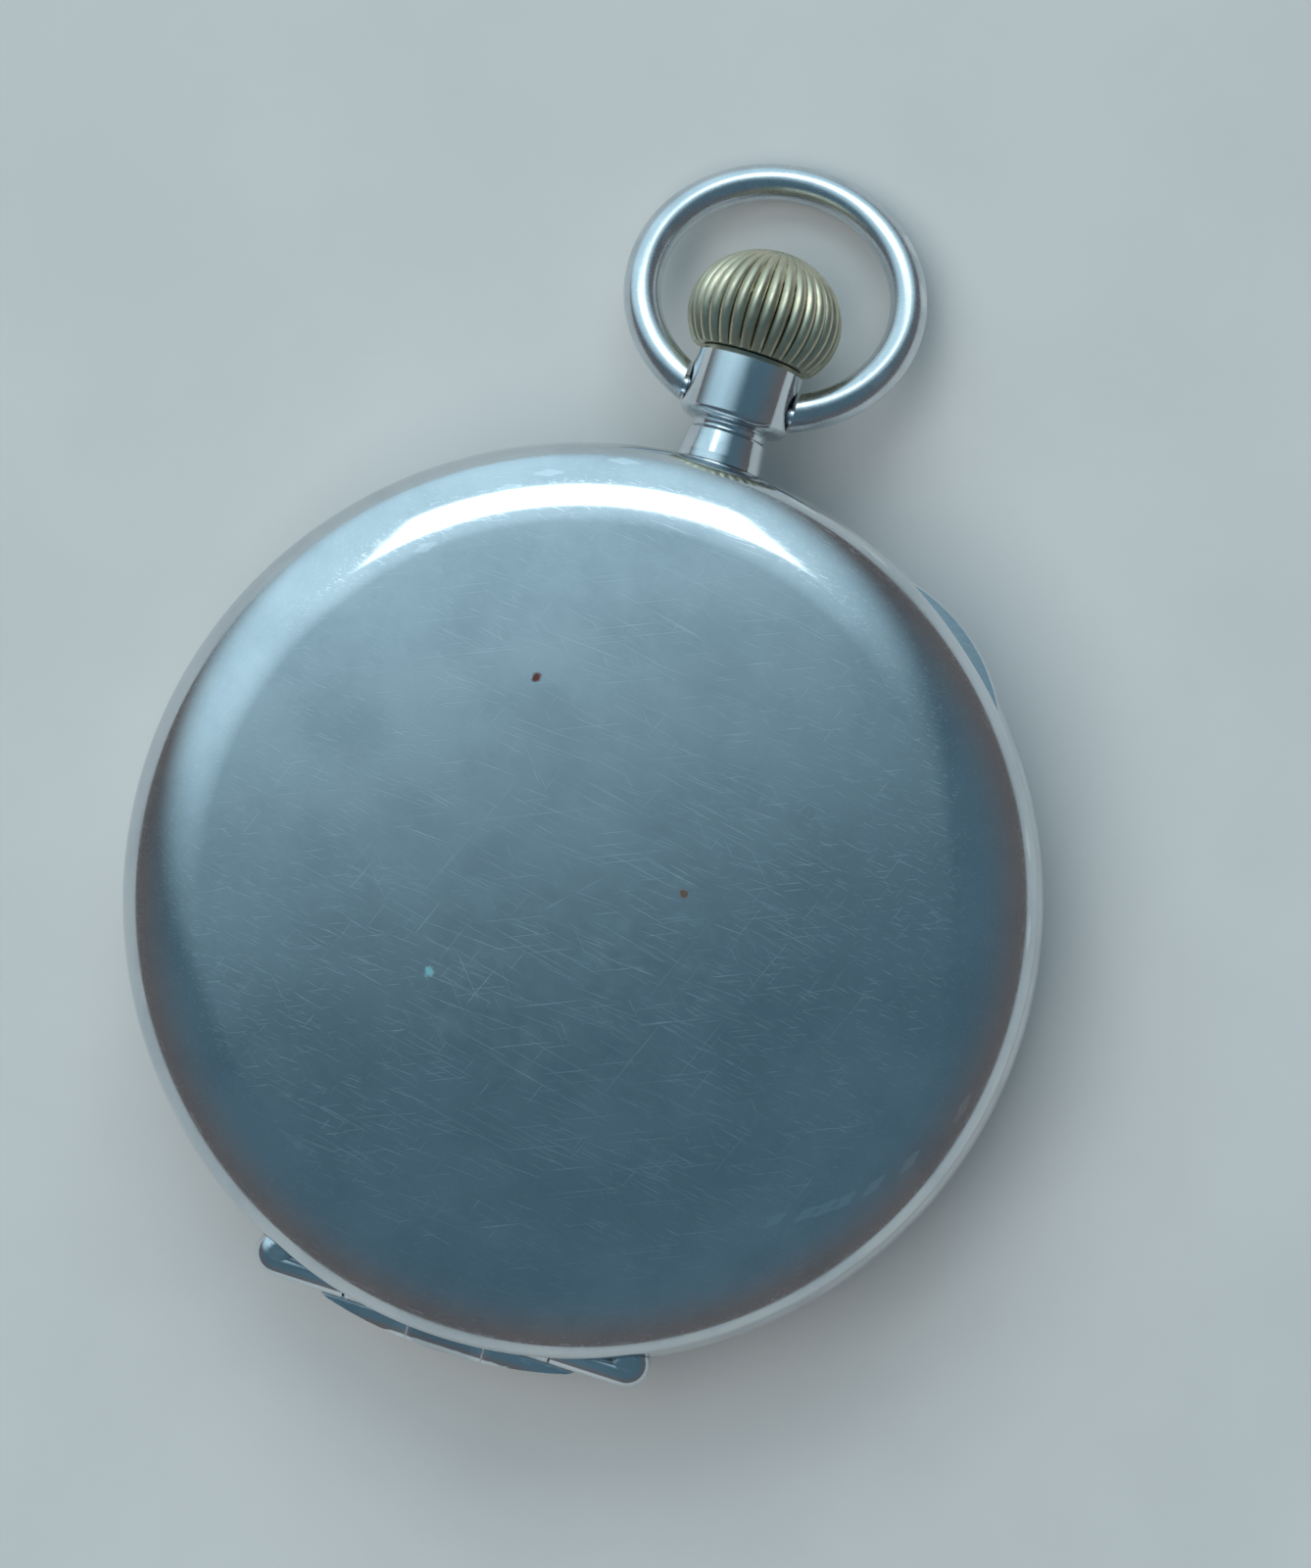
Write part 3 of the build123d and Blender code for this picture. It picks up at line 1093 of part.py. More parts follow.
with BuildPart() as minute_wheel:
    gear(at(MINUTE_WHEEL, 4.38), 0.28, MINUTE_TEETH, MOTION_MODULE, mesh_turn(MINUTE_TEETH, -90, True))
    turn = mesh_turn(MINUTE_PINION_TEETH, -90, True)
    gear(at(MINUTE_WHEEL, 3.72), 0.66, MINUTE_PINION_TEETH, MOTION_MODULE, turn)
    disc(MINUTE_WHEEL, 0.34, 3, 5, mode=Mode.SUBTRACT)
minute_wheel.part.label = "minute_wheel"
export_step(minute_wheel.part, "parts/minute_wheel.step")

with BuildPart() as hour_wheel:
    gear(at(CENTRE, 3.75), 0.3, HOUR_TEETH, MOTION_MODULE, mesh_turn(HOUR_TEETH, 90))
    disc(CENTRE, 1.12, 2.35, 3.75)
    disc(CENTRE, 0.8, 2, 5, mode=Mode.SUBTRACT)
hour_wheel.part.label = "hour_wheel"
export_step(hour_wheel.part, "parts/hour_wheel.step")

with BuildPart() as setting_wheel:
    gear(at(SETTING_WHEEL, 4.4), 0.26, SETTING_TEETH, MOTION_MODULE, mesh_turn(SETTING_TEETH, -90))
    disc(SETTING_WHEEL, 0.44, 4, 5, mode=Mode.SUBTRACT)
setting_wheel.part.label = "setting_wheel"
export_step(setting_wheel.part, "parts/setting_wheel.step")

# ---- dial, seconds dial and hands ----
with BuildPart() as dial:
    disc(CENTRE, 21.0, 3.0, PLATE_FRONT_Z)
    disc(CENTRE, 1.35, 2.9, 3.7, mode=Mode.SUBTRACT)
    disc(FOURTH, 5.2, 2.9, 3.7, mode=Mode.SUBTRACT)
    for angle in (15, 130, 250):
        disc(polar(CENTRE, 18.6, angle), 0.4, PLATE_FRONT_Z, 5.2)
dial.part.label = "dial"
export_step(dial.part, "parts/dial.step")

with BuildPart() as seconds_dial:
    disc(FOURTH, 5.18, 3.2, PLATE_FRONT_Z)
    disc(FOURTH, 0.45, 3, 3.7, mode=Mode.SUBTRACT)
seconds_dial.part.label = "seconds_dial"
export_step(seconds_dial.part, "parts/seconds_dial.step")


def hand(point, collet_r, bore_r, low, thickness, length, tail, root_w, angle=90):
    """A tapered hand with a round collet."""
    with BuildSketch(at(point, low).rotated((0, 0, angle - 90))) as face:
        with BuildLine():
            Polyline((-root_w / 2, -tail), (root_w / 2, -tail), (0.08, length), (-0.08, length), close=True)
        make_face()
        Circle(collet_r)
        Circle(bore_r, mode=Mode.SUBTRACT)
    extrude(face.sketch, amount=thickness)


with BuildPart() as minute_hand:
    hand(CENTRE, 1.1, 0.75, 1.95, 0.22, 17.6, 0, 0.9, 144)
    disc(CENTRE, 0.75, 1.95, 2.17, mode=Mode.SUBTRACT)
minute_hand.part.label = "minute_hand"
export_step(minute_hand.part, "parts/minute_hand.step")

with BuildPart() as hour_hand:
    hand(CENTRE, 1.6, 1.12, 2.4, 0.22, 11.4, 0, 1.2, 42)
    disc(CENTRE, 1.12, 2.4, 2.62, mode=Mode.SUBTRACT)
hour_hand.part.label = "hour_hand"
export_step(hour_hand.part, "parts/hour_hand.step")

with BuildPart() as seconds_hand:
    hand(FOURTH, 0.42, 0.2, 2.68, 0.16, 4.1, 1.3, 0.3, 200)
seconds_hand.part.label = "seconds_hand"
export_step(seconds_hand.part, "parts/seconds_hand.step")
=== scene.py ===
from math import acos, asin, atan2, cos, pi, radians, sin, sqrt

import bmesh
import bpy
from mathutils import Matrix, Vector


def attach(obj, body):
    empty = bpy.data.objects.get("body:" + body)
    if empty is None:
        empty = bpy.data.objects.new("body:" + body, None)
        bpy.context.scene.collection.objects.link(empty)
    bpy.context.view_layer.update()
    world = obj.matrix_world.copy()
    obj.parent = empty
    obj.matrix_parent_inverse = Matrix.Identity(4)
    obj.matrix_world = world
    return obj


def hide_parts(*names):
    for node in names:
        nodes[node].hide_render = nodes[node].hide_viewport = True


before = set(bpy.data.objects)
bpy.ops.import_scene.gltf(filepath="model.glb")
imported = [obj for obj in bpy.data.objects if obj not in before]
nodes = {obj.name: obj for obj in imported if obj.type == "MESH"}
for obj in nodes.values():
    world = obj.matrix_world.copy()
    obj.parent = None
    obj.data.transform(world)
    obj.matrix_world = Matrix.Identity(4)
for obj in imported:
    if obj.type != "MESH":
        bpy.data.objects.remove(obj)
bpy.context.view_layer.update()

MM = 0.001
scene = bpy.context.scene


# ---- camera ----
camera_data = bpy.data.cameras.new("camera")
camera_data.lens = 112.5
camera_data.sensor_width = 36
camera_data.clip_start = 0.01
camera = bpy.data.objects.new("camera", camera_data)
scene.collection.objects.link(camera)
camera_back = Vector((0.07503, -0.05101, 0.99588)).normalized()
camera_up = Vector((-0.29567, 0.95264, 0.07107))
camera_right = camera_up.cross(camera_back).normalized()
camera_up = camera_back.cross(camera_right)
turn = Matrix((camera_right, camera_up, camera_back)).transposed()
camera.matrix_world = Matrix.Translation(Vector((22.351, -6.507, 276.882)) * MM) @ turn.to_4x4()
scene.camera = camera
scene.view_settings.view_transform = "Standard"


# ---- shader helpers ----
def add(tree, kind, inputs=(), **settings):
    """A node with its settings; each input is a value or another node's socket."""
    made = tree.nodes.new("ShaderNode" + kind)
    for key, value in settings.items():
        setattr(made, key, value)
    for key, value in dict(inputs).items():
        if isinstance(value, bpy.types.NodeSocket):
            tree.links.new(value, made.inputs[key])
        else:
            made.inputs[key].default_value = value
    return made


def math(tree, operation, a, b=0.0):
    return add(tree, "Math", {0: a, 1: b}, operation=operation).outputs[0]


def fade(tree, value, low, high, to_low=0.0, to_high=1.0):
    """Maps value smoothly from low..high to to_low..to_high."""
    ports = {"Value": value, "From Min": low, "From Max": high, "To Min": to_low, "To Max": to_high}
    return add(tree, "MapRange", ports, interpolation_type="SMOOTHSTEP").outputs[0]


def blend(tree, factor, a, b):
    made = add(tree, "Mix", {0: factor, 6: a, 7: b}, data_type="RGBA")
    return made.outputs[2]


def noise(tree, coords, scale, detail=5.0, rough=0.55):
    ports = {"Vector": coords, "Scale": scale, "Detail": detail, "Roughness": rough}
    return add(tree, "TexNoise", ports).outputs[0]


def rgba(r, g, b):
    return (r, g, b, 1.0)


def new_material(name):
    made = bpy.data.materials.new(name)
    made.use_nodes = True
    tree = made.node_tree
    shader = tree.nodes["Principled BSDF"]
    coords = add(tree, "TexCoord").outputs["Object"]
    return made, tree, shader, coords


def scratches(tree, coords, angle, along, across, edge):
    """Fine hairlines at one angle, as 0..1."""
    ports = {"Vector": coords, "Angle": radians(angle)}
    turned = add(tree, "VectorRotate", ports, rotation_type="Z_AXIS").outputs[0]
    ports = {0: turned, 1: (along, across, across)}
    stretched = add(tree, "VectorMath", ports, operation="MULTIPLY").outputs[0]
    return fade(tree, noise(tree, stretched, 1.0, 2.0, 0.5), edge, edge + 0.05)


def metal(name, bright, dull, rough, marks=0.35, mottle=260.0, hairlines=True, bump=0.08, hollow_grime_and_shade=None):
    """Worn metal: mottled colour, uneven roughness, hairlines, bright edges, and hollows darkened with grime
    and painted shade.
    """
    made, tree, shader, coords = new_material(name)
    broad = noise(tree, coords, mottle, 6.0, 0.6)
    fine = noise(tree, coords, mottle * 7, 5.0, 0.6)
    colour = blend(tree, fade(tree, broad, 0.35, 0.68), rgba(*bright), rgba(*dull))
    lines = fine
    if hairlines:
        lines = scratches(tree, coords, 12, 130, 15000, 0.655)
        for angle, edge in ((-23, 0.67), (48, 0.69), (-68, 0.70), (3, 0.66)):
            more = scratches(tree, coords, angle, 150 + angle, 14000 + 20 * angle, edge)
            lines = math(tree, "MAXIMUM", lines, more)
    lighter = rgba(*(min(1.0, c * 1.25) for c in bright))
    colour = blend(tree, math(tree, "MULTIPLY", lines, marks), colour, lighter)
    pointy = add(tree, "NewGeometry").outputs["Pointiness"]
    colour = blend(tree, fade(tree, pointy, 0.53, 0.60, 0.0, 0.6), colour, lighter)
    # hollows (low pointiness) get a darker colour: grime plus painted shade
    if hollow_grime_and_shade:
        colour = blend(tree, fade(tree, pointy, 0.49, 0.43), colour, rgba(*hollow_grime_and_shade))
    tree.links.new(colour, shader.inputs["Base Color"])
    uneven = math(tree, "ADD", math(tree, "MULTIPLY", broad, 0.6), math(tree, "MULTIPLY", fine, 0.4))
    level = fade(tree, uneven, 0.35, 0.65, rough[0], rough[1])
    level = math(tree, "ADD", level, math(tree, "MULTIPLY", lines, 0.10))
    tree.links.new(level, shader.inputs["Roughness"])
    height = math(tree, "ADD", math(tree, "MULTIPLY", fine, 0.2), math(tree, "MULTIPLY", lines, -0.5))
    bumped = add(tree, "Bump", {"Strength": bump, "Distance": 0.00002, "Height": height})
    tree.links.new(bumped.outputs[0], shader.inputs["Normal"])
    shader.inputs["Metallic"].default_value = 1.0
    return made


def spot(tree, coords, x, y, radius):
    """1 at a point of the back and 0 beyond radius, all in mm."""
    flat = add(tree, "VectorMath", {0: coords, 1: (1, 1, 0)}, operation="MULTIPLY").outputs[0]
    wobble = math(tree, "MULTIPLY", noise(tree, coords, 3000.0), 0.0006)
    ports = {0: flat, 1: (x * MM, y * MM, 0)}
    far = add(tree, "VectorMath", ports, operation="DISTANCE").outputs["Value"]
    far = math(tree, "ADD", far, wobble)
    return fade(tree, far, radius * MM + 0.0003, radius * MM * 0.4 + 0.0003)


def add_cover_marks(material):
    """Rust specks, one pale fleck and a hazy, more scratched middle."""
    tree = material.node_tree
    shader = tree.nodes["Principled BSDF"]
    coords = add(tree, "TexCoord").outputs["Object"]
    colour = shader.inputs["Base Color"].links[0].from_socket
    level = shader.inputs["Roughness"].links[0].from_socket
    haze = math(tree, "MULTIPLY", noise(tree, coords, 420.0, 8.0, 0.7), spot(tree, coords, 0, -2, 17))
    colour = blend(tree, fade(tree, haze, 0.45, 0.75, 0.0, 0.35), colour, rgba(0.50, 0.60, 0.62))
    level = math(tree, "ADD", level, fade(tree, haze, 0.40, 0.75, 0.0, 0.10))
    for x, y, radius, tint in (
        (-5.5, 10.6, 0.30, (0.24, 0.09, 0.07)),
        (5.7, 1.8, 0.36, (0.30, 0.20, 0.15)),
        (-6.2, -6.3, 0.40, (0.45, 0.85, 0.85)),
    ):
        mark = spot(tree, coords, x, y, radius)
        colour = blend(tree, mark, colour, rgba(*tint))
        level = math(tree, "ADD", level, math(tree, "MULTIPLY", mark, 0.35))
    tree.links.new(colour, shader.inputs["Base Color"])
    tree.links.new(level, shader.inputs["Roughness"])


def striped_gilt(name):
    """Gilt plate with fine waved stripes."""
    made = metal(name, (0.86, 0.62, 0.30), (0.66, 0.44, 0.20), (0.22, 0.38), hairlines=False)
    tree = made.node_tree
    shader = tree.nodes["Principled BSDF"]
    coords = add(tree, "TexCoord").outputs["Object"]
    ports = {"Vector": coords, "Scale": 190.0, "Distortion": 0.6, "Detail": 3.0}
    wave = add(tree, "TexWave", ports, wave_type="BANDS", bands_direction="DIAGONAL").outputs["Fac"]
    bumped = add(tree, "Bump", {"Strength": 0.25, "Distance": 0.00003, "Height": wave})
    tree.links.new(bumped.outputs[0], shader.inputs["Normal"])
    return made


def enamel(name, tint):
    made, tree, shader, coords = new_material(name)
    soft = noise(tree, coords, 90.0, 4.0)
    speck = fade(tree, noise(tree, coords, 2600.0, 3.0), 0.70, 0.78)
    colour = blend(tree, fade(tree, soft, 0.3, 0.7), rgba(*tint), rgba(*(c * 0.93 for c in tint)))
    colour = blend(tree, math(tree, "MULTIPLY", speck, 0.35), colour, rgba(0.35, 0.30, 0.24))
    tree.links.new(colour, shader.inputs["Base Color"])
    tree.links.new(fade(tree, soft, 0.3, 0.7, 0.12, 0.22), shader.inputs["Roughness"])
    bumped = add(tree, "Bump", {"Strength": 0.04, "Distance": 0.00005, "Height": soft})
    tree.links.new(bumped.outputs[0], shader.inputs["Normal"])
    return made


def clear(name, tint, ior, rough):
    made, tree, shader, coords = new_material(name)
    dust = noise(tree, coords, 900.0, 6.0)
    marks = scratches(tree, coords, 31, 200, 5200, 0.68)
    level = fade(tree, dust, 0.4, 0.7, rough, rough + 0.04)
    level = math(tree, "ADD", level, math(tree, "MULTIPLY", marks, 0.1))
    tree.links.new(level, shader.inputs["Roughness"])
    deeper = rgba(*(c * 0.9 for c in tint))
    colour = blend(tree, fade(tree, dust, 0.3, 0.7), rgba(*tint), deeper)
    tree.links.new(colour, shader.inputs["Base Color"])
    bumped = add(tree, "Bump", {"Strength": 0.03, "Distance": 0.00002, "Height": marks})
    tree.links.new(bumped.outputs[0], shader.inputs["Normal"])
    shader.inputs["IOR"].default_value = ior
    shader.inputs["Transmission Weight"].default_value = 1.0
    return made


NICKEL = ((0.70, 0.73, 0.75), (0.58, 0.62, 0.65))
# colour for the hollows: grime plus painted shade
GRIME_AND_SHADE = (0.16, 0.14, 0.12)
case_metal = metal("case_metal", *NICKEL, (0.08, 0.16), marks=0.2, bump=0.05, hollow_grime_and_shade=GRIME_AND_SHADE)
cover_metal = metal("cover_metal", *NICKEL, (0.07, 0.14), marks=0.42, mottle=150.0, bump=0.08)
add_cover_marks(cover_metal)
bow_metal = metal("bow_metal", *NICKEL, (0.17, 0.27), marks=0.2, bump=0.05, hollow_grime_and_shade=GRIME_AND_SHADE)
CROWN_TINTS = ((0.66, 0.60, 0.44), (0.42, 0.40, 0.30))
# the near-black colour in the crown's grooves is painted shade with some grime
crown_metal = metal(
    "crown_metal", *CROWN_TINTS, (0.24, 0.42), hairlines=False, hollow_grime_and_shade=(0.05, 0.04, 0.03)
)
gilt = striped_gilt("gilt_plate")
brass = metal("wheel_brass", (0.86, 0.66, 0.32), (0.68, 0.50, 0.24), (0.20, 0.34))
steel = metal("steel", (0.62, 0.62, 0.63), (0.48, 0.49, 0.51), (0.16, 0.30))
blued = metal("blued_steel", (0.05, 0.10, 0.36), (0.03, 0.05, 0.20), (0.16, 0.28), marks=0.15)
ruby = clear("jewel", (0.75, 0.03, 0.10), 1.76, 0.03)
glass = clear("crystal", (0.97, 0.98, 0.98), 1.50, 0.02)
white_enamel = enamel("enamel", (0.82, 0.81, 0.77))
black_enamel = enamel("enamel_black", (0.015, 0.015, 0.018))

FINISHES = {
    case_metal: "case_middle pendant hinge_pin_back hinge_pin_front bezel",
    bow_metal: "bow",
    cover_metal: "back_cover cuvette",
    crown_metal: "crown",
    gilt: "main_plate barrel_bridge train_bridge pallet_cock balance_cock",
    brass: "barrel_drum barrel_lid centre_wheel third_wheel fourth_wheel balance_wheel balance_screws"
    " minute_wheel hour_wheel setting_wheel escape_wheel",
    steel: "winding_stem winding_pinion clutch_wheel setting_lever yoke mainspring barrel_arbor ratchet_wheel"
    " crown_wheel click click_spring pallet_fork balance_staff roller regulator hairspring_stud cannon_pinion",
    blued: "case_screws bridge_screws cock_screws ratchet_screw crown_wheel_screw hairspring minute_hand"
    " hour_hand seconds_hand",
    ruby: "plate_jewels bridge_jewels cap_jewel pallet_stones",
    glass: "crystal",
    white_enamel: "dial seconds_dial",
}
for material, names in FINISHES.items():
    for name in names.split():
        owner = nodes[name]
        if not owner.material_slots:
            owner.data.materials.append(material)
        for held in owner.material_slots:
            held.material = material


# ---- mesh helpers ----
def mesh_object(name, build, material):
    """A smooth-shaded mesh made by build(bm); lengths inside are in mm."""
    bm = bmesh.new()
    build(bm)
    bmesh.ops.remove_doubles(bm, verts=bm.verts, dist=1e-5)
    bmesh.ops.recalc_face_normals(bm, faces=bm.faces)
    bmesh.ops.scale(bm, vec=(MM, MM, MM), verts=bm.verts)
    data = bpy.data.meshes.new(name)
    bm.to_mesh(data)
    bm.free()
    data.shade_smooth()
    data.set_sharp_from_angle(angle=radians(32))
    data.materials.append(material)
    made = bpy.data.objects.new(name, data)
    scene.collection.objects.link(made)
    return made


def lathe(bm, profile, place, segments=192):
    """Turns a closed profile of (radius, height) once; place(radius, height, angle) gives each point."""
    rings = []
    for step in range(segments):
        angle = 2 * pi * step / segments
        rings.append([bm.verts.new(place(r, h, angle)) for r, h in profile])
    count = len(profile)
    for step in range(segments):
        ring, after = rings[step], rings[(step + 1) % segments]
        for i in range(count):
            j = (i + 1) % count
            if profile[i][0] < 1e-6 and profile[j][0] < 1e-6:
                continue
            if profile[i][0] < 1e-6:
                bm.faces.new((ring[i], ring[j], after[j]))
            elif profile[j][0] < 1e-6:
                bm.faces.new((ring[i], ring[j], after[i]))
            else:
                bm.faces.new((ring[i], ring[j], after[j], after[i]))


def arc(centre, radius, start, end, count):
    """Points on an arc; angles are tilts from straight up, in radians."""
    steps = [start + (end - start) * i / count for i in range(count + 1)]
    return [(centre[0] + radius * sin(t), centre[1] + radius * cos(t)) for t in steps]


# ---- back cover: dome, shoulder, rim, thumb lip and knuckles ----
EDGE_R = 25.15
COVER_Z = 8.2
COVER_TOP_Z = 13.0
COVER_WALL = 0.55
DOME_R = 412.0
DOME_EDGE_R = 20.3
SHOULDER = (24.6, 10.55)
LIP_ANGLE = 51
LIP_DISC_R = 10.35
LIP_DISC_FROM_AXIS = 15.45
LIP_Z = 8.55
LIP_ROOT_R = 24.8
RIM_Z = 9.19
FIT = 0.001
# the inside of the cover, from the rim up to the dome
COVER_INNER = ((24.4, 9.0), (24.05, 9.95), (23.3, 10.75), (22.0, 11.45))
HINGE_Y = -24.0
HINGE_Z = 7.0
HINGE_R = 0.85
COVER_KNUCKLES = ((-5.9, -2.1), (2.1, 5.9))


def dome_z(radius):
    return COVER_TOP_Z - DOME_R + sqrt(DOME_R**2 - radius**2)


def tangent_arc(start, tilt, end, count):
    """The arc that leaves start at a tilt and reaches end; returns its points and its last tilt."""
    dx, dz = end[0] - start[0], end[1] - start[1]
    radius = -(dx * dx + dz * dz) / (2 * (dx * sin(tilt) + dz * cos(tilt)))
    centre = (start[0] - radius * sin(tilt), start[1] - radius * cos(tilt))
    last = atan2(end[0] - centre[0], end[1] - centre[1])
    return arc(centre, radius, tilt, last, count), last


def cover_profile():
    edge_tilt = asin(DOME_EDGE_R / DOME_R)
    outer = arc((0, COVER_TOP_Z - DOME_R), DOME_R, 0, edge_tilt, 30)
    shoulder, tilt = tangent_arc(outer[-1], edge_tilt, SHOULDER, 36)
    rim = tangent_arc(SHOULDER, tilt, (EDGE_R - FIT, RIM_Z), 16)[0]
    outer += shoulder[1:] + rim[1:]
    outer += [(EDGE_R - FIT, COVER_Z + 0.08), (EDGE_R - 0.06, COVER_Z + 2 * FIT)]
    inner = [(COVER_INNER[0][0], COVER_Z + 2 * FIT), *COVER_INNER]
    inner += [(r, dome_z(r) - COVER_WALL) for r in (20.0, 15.0, 10.0, 5.0, 0.0)]
    return outer + inner


def upright(r, h, angle):
    return (r * cos(angle), r * sin(angle), h)


def knuckle(bm, low, high):
    """A hinge tube along X with softened ends."""
    soft = 0.08
    profile = [(0, low), (HINGE_R - soft, low), (HINGE_R, low + soft)]
    profile += [(HINGE_R, high - soft), (HINGE_R - soft, high), (0, high)]

    def along_x(r, h, angle):
        return (h, HINGE_Y + r * cos(angle), HINGE_Z + r * sin(angle))

    lathe(bm, profile, along_x, 48)


def thumb_lip(bm):
    """A thin crescent that stands out past the rim."""
    top = (EDGE_R**2 + LIP_DISC_FROM_AXIS**2 - LIP_DISC_R**2) / (2 * EDGE_R * LIP_DISC_FROM_AXIS)
    half = acos(top)
    steps = 40
    rows = []
    for i in range(steps + 1):
        t = -half + 2 * half * i / steps
        offset = LIP_DISC_FROM_AXIS * sin(t)
        reach = LIP_DISC_FROM_AXIS * cos(t) + sqrt(LIP_DISC_R**2 - offset**2)
        reach = max(reach - 0.002, EDGE_R - 0.05)
        angle = radians(LIP_ANGLE) + t
        ring = [(LIP_ROOT_R, COVER_Z + 0.01), (reach - 0.05, COVER_Z + 0.01)]
        ring += [(reach, COVER_Z + 0.08), (reach, LIP_Z - 0.09)]
        ring += [(reach - 0.07, LIP_Z - 0.005), (LIP_ROOT_R, LIP_Z - 0.005)]
        rows.append([bm.verts.new(upright(r, h, angle)) for r, h in ring])
    for a, b in zip(rows, rows[1:]):
        for i in range(6):
            j = (i + 1) % 6
            bm.faces.new((a[i], a[j], b[j], b[i]))
    bm.faces.new(rows[0])
    bm.faces.new(rows[-1])


def build_cover(bm):
    lathe(bm, cover_profile(), upright, 256)
    thumb_lip(bm)
    for low, high in COVER_KNUCKLES:
        knuckle(bm, low, high)


cover = mesh_object("cover_shell", build_cover, cover_metal)
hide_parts("back_cover")
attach(cover, "back_cover")


# ---- crown: a ball of rounded ribs with a zigzag lower edge ----
CROWN_R = 4.35
CROWN_Y = 33.9
CROWN_HALF = 3.85
CROWN_BOTTOM_Y = 31.56
CROWN_RIBS = 32
RIB_DEPTH = 0.30
STEM_Z = 6.5
STEM_BORE_R = 0.61
STEM_BORE_TOP_Y = 34.4
CROWN_FIT = 0.999


def build_crown(bm):
    low = asin((CROWN_BOTTOM_Y - CROWN_Y) / CROWN_HALF)
    rise = [low + (pi / 2 - low) * i / 44 for i in range(45)]
    profile = [(CROWN_R * cos(t) * CROWN_FIT, CROWN_Y + CROWN_HALF * sin(t) * CROWN_FIT) for t in rise[:-1]]
    profile += [(0.0, CROWN_Y + CROWN_HALF * CROWN_FIT), (0.0, STEM_BORE_TOP_Y)]
    profile += [(STEM_BORE_R, STEM_BORE_TOP_Y), (STEM_BORE_R, CROWN_BOTTOM_Y + 0.06)]

    def about_stem(r, y, angle):
        rib = abs(sin(CROWN_RIBS * angle / 2)) ** 0.75
        if r > STEM_BORE_R + 0.01:
            r -= RIB_DEPTH * (r / CROWN_R) ** 1.3 * (1 - rib)
        return (r * cos(angle), y, STEM_Z + r * sin(angle))

    lathe(bm, profile, about_stem, CROWN_RIBS * 12)


crown = mesh_object("crown_ball", build_crown, crown_metal)
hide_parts("crown")
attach(crown, "crown")


# ---- dial printing ----
DIAL_Z = 3.0
PRINT_GAP = 0.012
NUMERAL_R = 16.6
TRACK_IN_R = 19.0
TRACK_OUT_R = 19.7
SECONDS_CENTRE = (0.0, -10.0)
SECONDS_DIAL_Z = 3.2
SECONDS_NUMERAL_R = 3.0


def box_at(bm, centre, angle, near, far, width, z, depth=0.006):
    """A radial bar on the dial, thickened towards the front."""
    way = Vector((cos(angle), sin(angle), 0))
    side = Vector((-way.y, way.x, 0)) * width / 2
    start = Vector((centre[0], centre[1], z))
    low, high = start + way * near, start + way * far
    flat = [low + side, low - side, high - side, high + side]
    back = [bm.verts.new(p) for p in flat]
    front = [bm.verts.new(p - Vector((0, 0, depth))) for p in flat]
    bm.faces.new(back)
    bm.faces.new(front)
    for i in range(4):
        j = (i + 1) % 4
        bm.faces.new((back[i], back[j], front[j], front[i]))


def ring_at(bm, centre, inner, outer, z, depth=0.006):
    profile = [(inner, z - depth), (outer, z - depth), (outer, z), (inner, z)]

    def about(r, h, angle):
        return (centre[0] + r * cos(angle), centre[1] + r * sin(angle), h)

    lathe(bm, profile, about, 180)


def build_track(bm):
    z = DIAL_Z - PRINT_GAP
    for inner in (TRACK_IN_R, TRACK_OUT_R):
        ring_at(bm, (0, 0), inner, inner + 0.09, z)
    for minute in range(60):
        wide = 0.34 if minute % 5 == 0 else 0.1
        box_at(bm, (0, 0), radians(6 * minute), TRACK_IN_R, TRACK_OUT_R, wide, z)


def build_seconds(bm):
    z = SECONDS_DIAL_Z - PRINT_GAP
    ring_at(bm, SECONDS_CENTRE, 4.45, 4.52, z)
    for second in range(60):
        near = 3.75 if second % 10 == 0 else (4.0 if second % 5 == 0 else 4.2)
        wide = 0.12 if second % 5 == 0 else 0.06
        box_at(bm, SECONDS_CENTRE, radians(6 * second), near, 4.45, wide, z)


for name, build in (("minute_track", build_track), ("seconds_track", build_seconds)):
    printed = mesh_object(name, build, black_enamel)
    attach(printed, "case")


def numeral(name, text, x, y, z, size):
    """A printed number that reads the right way round from the front."""
    data = bpy.data.curves.new(name, "FONT")
    data.body = text
    data.size = size * MM
    data.align_x = "CENTER"
    data.align_y = "CENTER"
    data.extrude = 0.003 * MM
    data.materials.append(black_enamel)
    made = bpy.data.objects.new(name, data)
    scene.collection.objects.link(made)
    facing_front = Matrix.Rotation(pi, 4, "Y")
    made.matrix_world = Matrix.Translation(Vector((x, y, z - PRINT_GAP)) * MM) @ facing_front
    bpy.context.view_layer.update()
    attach(made, "case")


for hour in range(1, 13):
    way = radians(90 + 30 * hour)
    x, y = NUMERAL_R * cos(way), NUMERAL_R * sin(way)
    numeral(f"numeral_{hour:02d}", str(hour), x, y, DIAL_Z, 3.3)
for count in (15, 30, 45, 60):
    way = radians(90 + 6 * count)
    x = SECONDS_CENTRE[0] + SECONDS_NUMERAL_R * cos(way)
    y = SECONDS_CENTRE[1] + SECONDS_NUMERAL_R * sin(way)
    numeral(f"seconds_{count}", str(count), x, y, SECONDS_DIAL_Z, 0.95)


# ---- floor ----
def build_floor(bm):
    bmesh.ops.create_circle(bm, cap_ends=True, segments=96, radius=900)


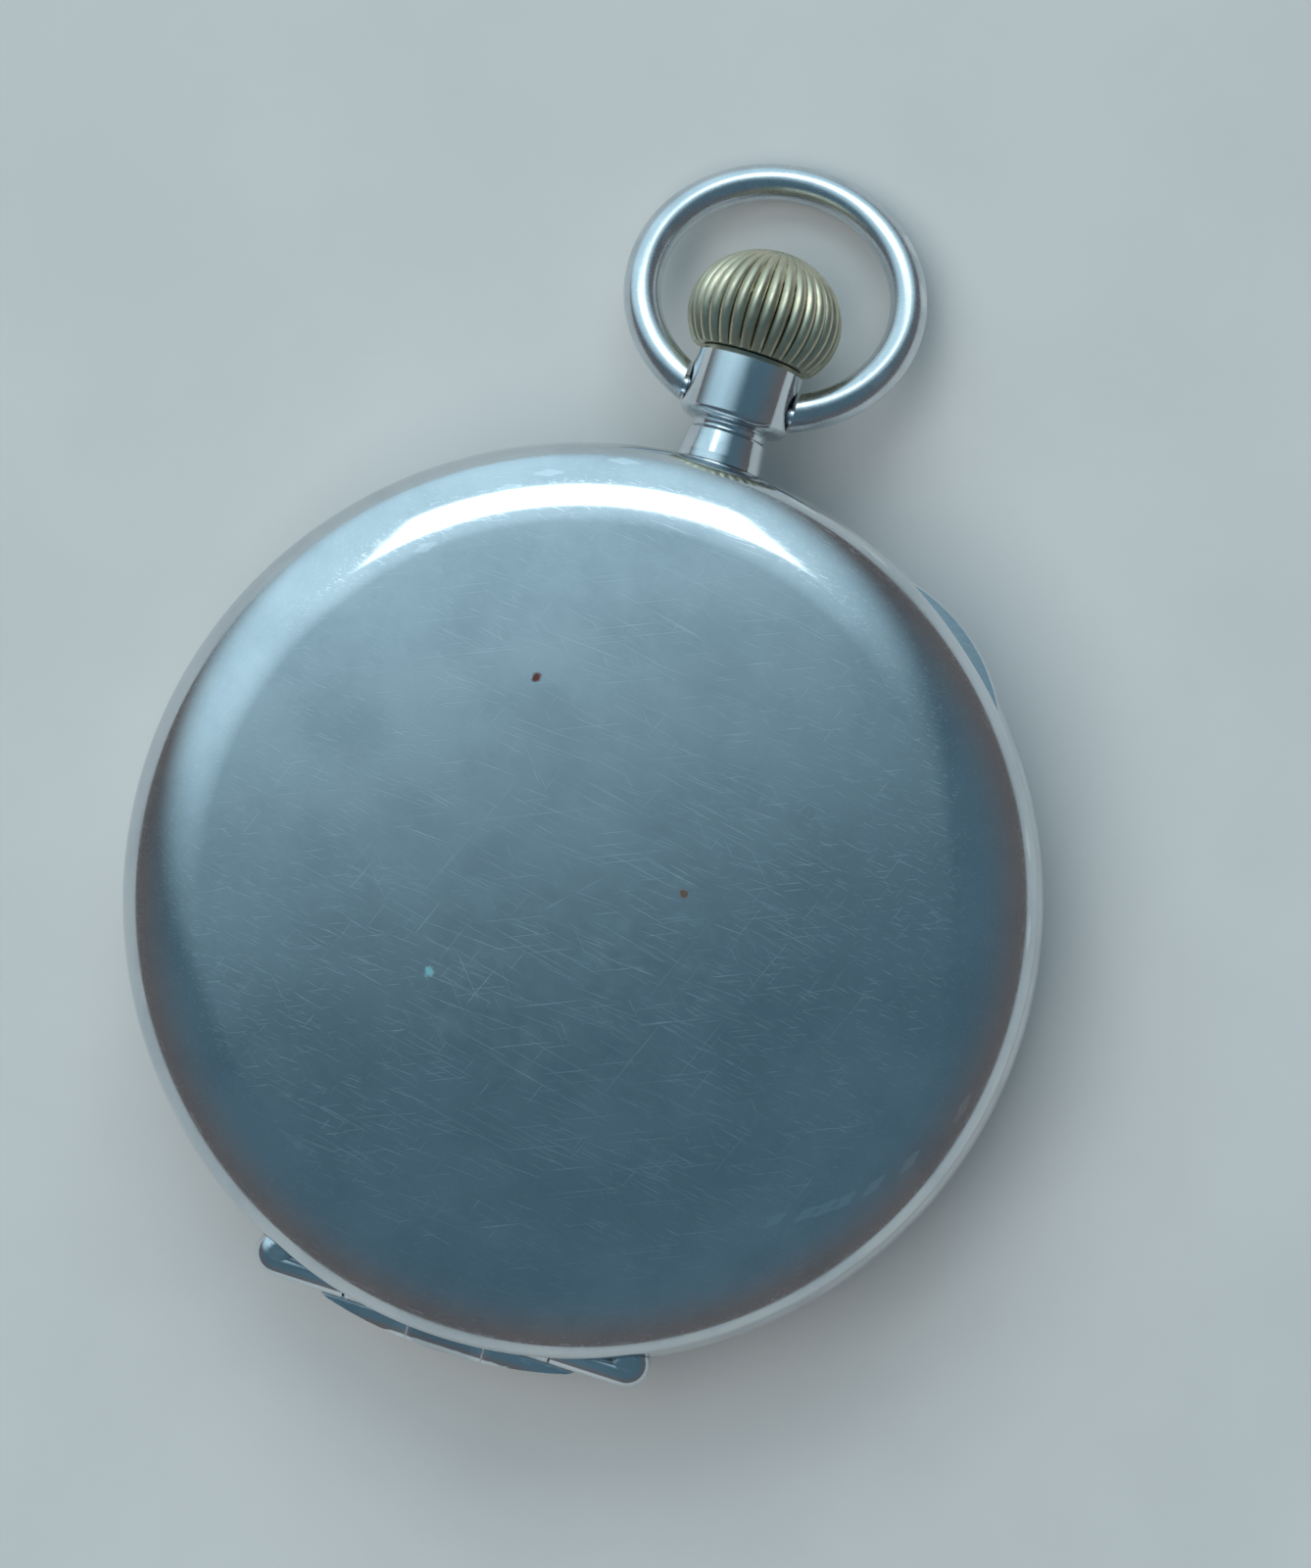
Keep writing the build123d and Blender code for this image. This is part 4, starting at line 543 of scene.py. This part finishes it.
floor_material, tree, shader, coords = new_material("floor")
grain = noise(tree, coords, 60.0, 6.0)
tint = blend(tree, fade(tree, grain, 0.3, 0.7), rgba(0.74, 0.73, 0.71), rgba(0.70, 0.69, 0.67))
tree.links.new(tint, shader.inputs["Base Color"])
shader.inputs["Roughness"].default_value = 0.85
hidden = add(tree, "BsdfTransparent")
path = add(tree, "LightPath").outputs
lets_light_through = math(tree, "MAXIMUM", path["Is Shadow Ray"], path["Is Diffuse Ray"])
behind = add(tree, "NewGeometry").outputs["Backfacing"]
one_sided = add(tree, "MixShader", {0: math(tree, "MAXIMUM", behind, lets_light_through)})
tree.links.new(shader.outputs[0], one_sided.inputs[1])
tree.links.new(hidden.outputs[0], one_sided.inputs[2])
tree.links.new(one_sided.outputs[0], tree.nodes["Material Output"].inputs["Surface"])
floor = mesh_object("floor", build_floor, floor_material)
if floor.data.polygons[0].normal.z < 0:
    floor.data.flip_normals()
floor.location.z = -0.05 * MM


# ---- light: a plain studio, pale and cool on the window's side and dim on the other ----
def direction(azimuth, elevation):
    a, e = radians(azimuth), radians(elevation)
    return Vector((cos(e) * cos(a), cos(e) * sin(a), sin(e)))


WINDOW_SIDE = direction(125, 35)
world = bpy.data.worlds.new("studio")
world.use_nodes = True
scene.world = world
tree = world.node_tree
ray = add(tree, "TexCoord").outputs["Generated"]
height = add(tree, "SeparateXYZ", {0: ray}).outputs[2]
sky = blend(tree, fade(tree, height, 0.0, 0.9), rgba(0.130, 0.125, 0.128), rgba(0.080, 0.150, 0.200))
facing = add(tree, "VectorMath", {0: ray, 1: tuple(WINDOW_SIDE)}, operation="DOT_PRODUCT").outputs["Value"]
sky = blend(tree, fade(tree, facing, 0.56, 0.90), sky, rgba(0.64, 0.92, 1.06))
pale = blend(tree, add(tree, "LightPath").outputs["Is Camera Ray"], sky, rgba(0.62, 0.62, 0.61))
tree.links.new(pale, tree.nodes["Background"].inputs["Color"])


def softbox(name, azimuth, elevation, distance, width, depth, watts, colour, mirrored=True):
    data = bpy.data.lights.new(name, "AREA")
    data.shape = "RECTANGLE"
    data.size = width
    data.size_y = depth
    data.energy = watts
    data.color = colour
    made = bpy.data.objects.new(name, data)
    scene.collection.objects.link(made)
    toward = direction(azimuth, elevation)
    made.location = toward * distance
    made.rotation_euler = toward.to_track_quat("Z", "Y").to_euler()
    made.visible_glossy = mirrored
    made.visible_camera = False


softbox("window", 112, 48, 0.7, 0.46, 0.27, 0.75, (0.93, 0.98, 1.0))
softbox("overhead", 230, 68, 1.2, 1.0, 0.8, 5.0, (1.0, 0.98, 0.95), mirrored=False)
softbox("underneath", 250, -60, 1.0, 1.2, 1.2, 9.0, (1.0, 0.99, 0.97), mirrored=False)
# the glass lets the light reach the dial
nodes["crystal"].visible_shadow = False
nodes["crystal"].visible_diffuse = False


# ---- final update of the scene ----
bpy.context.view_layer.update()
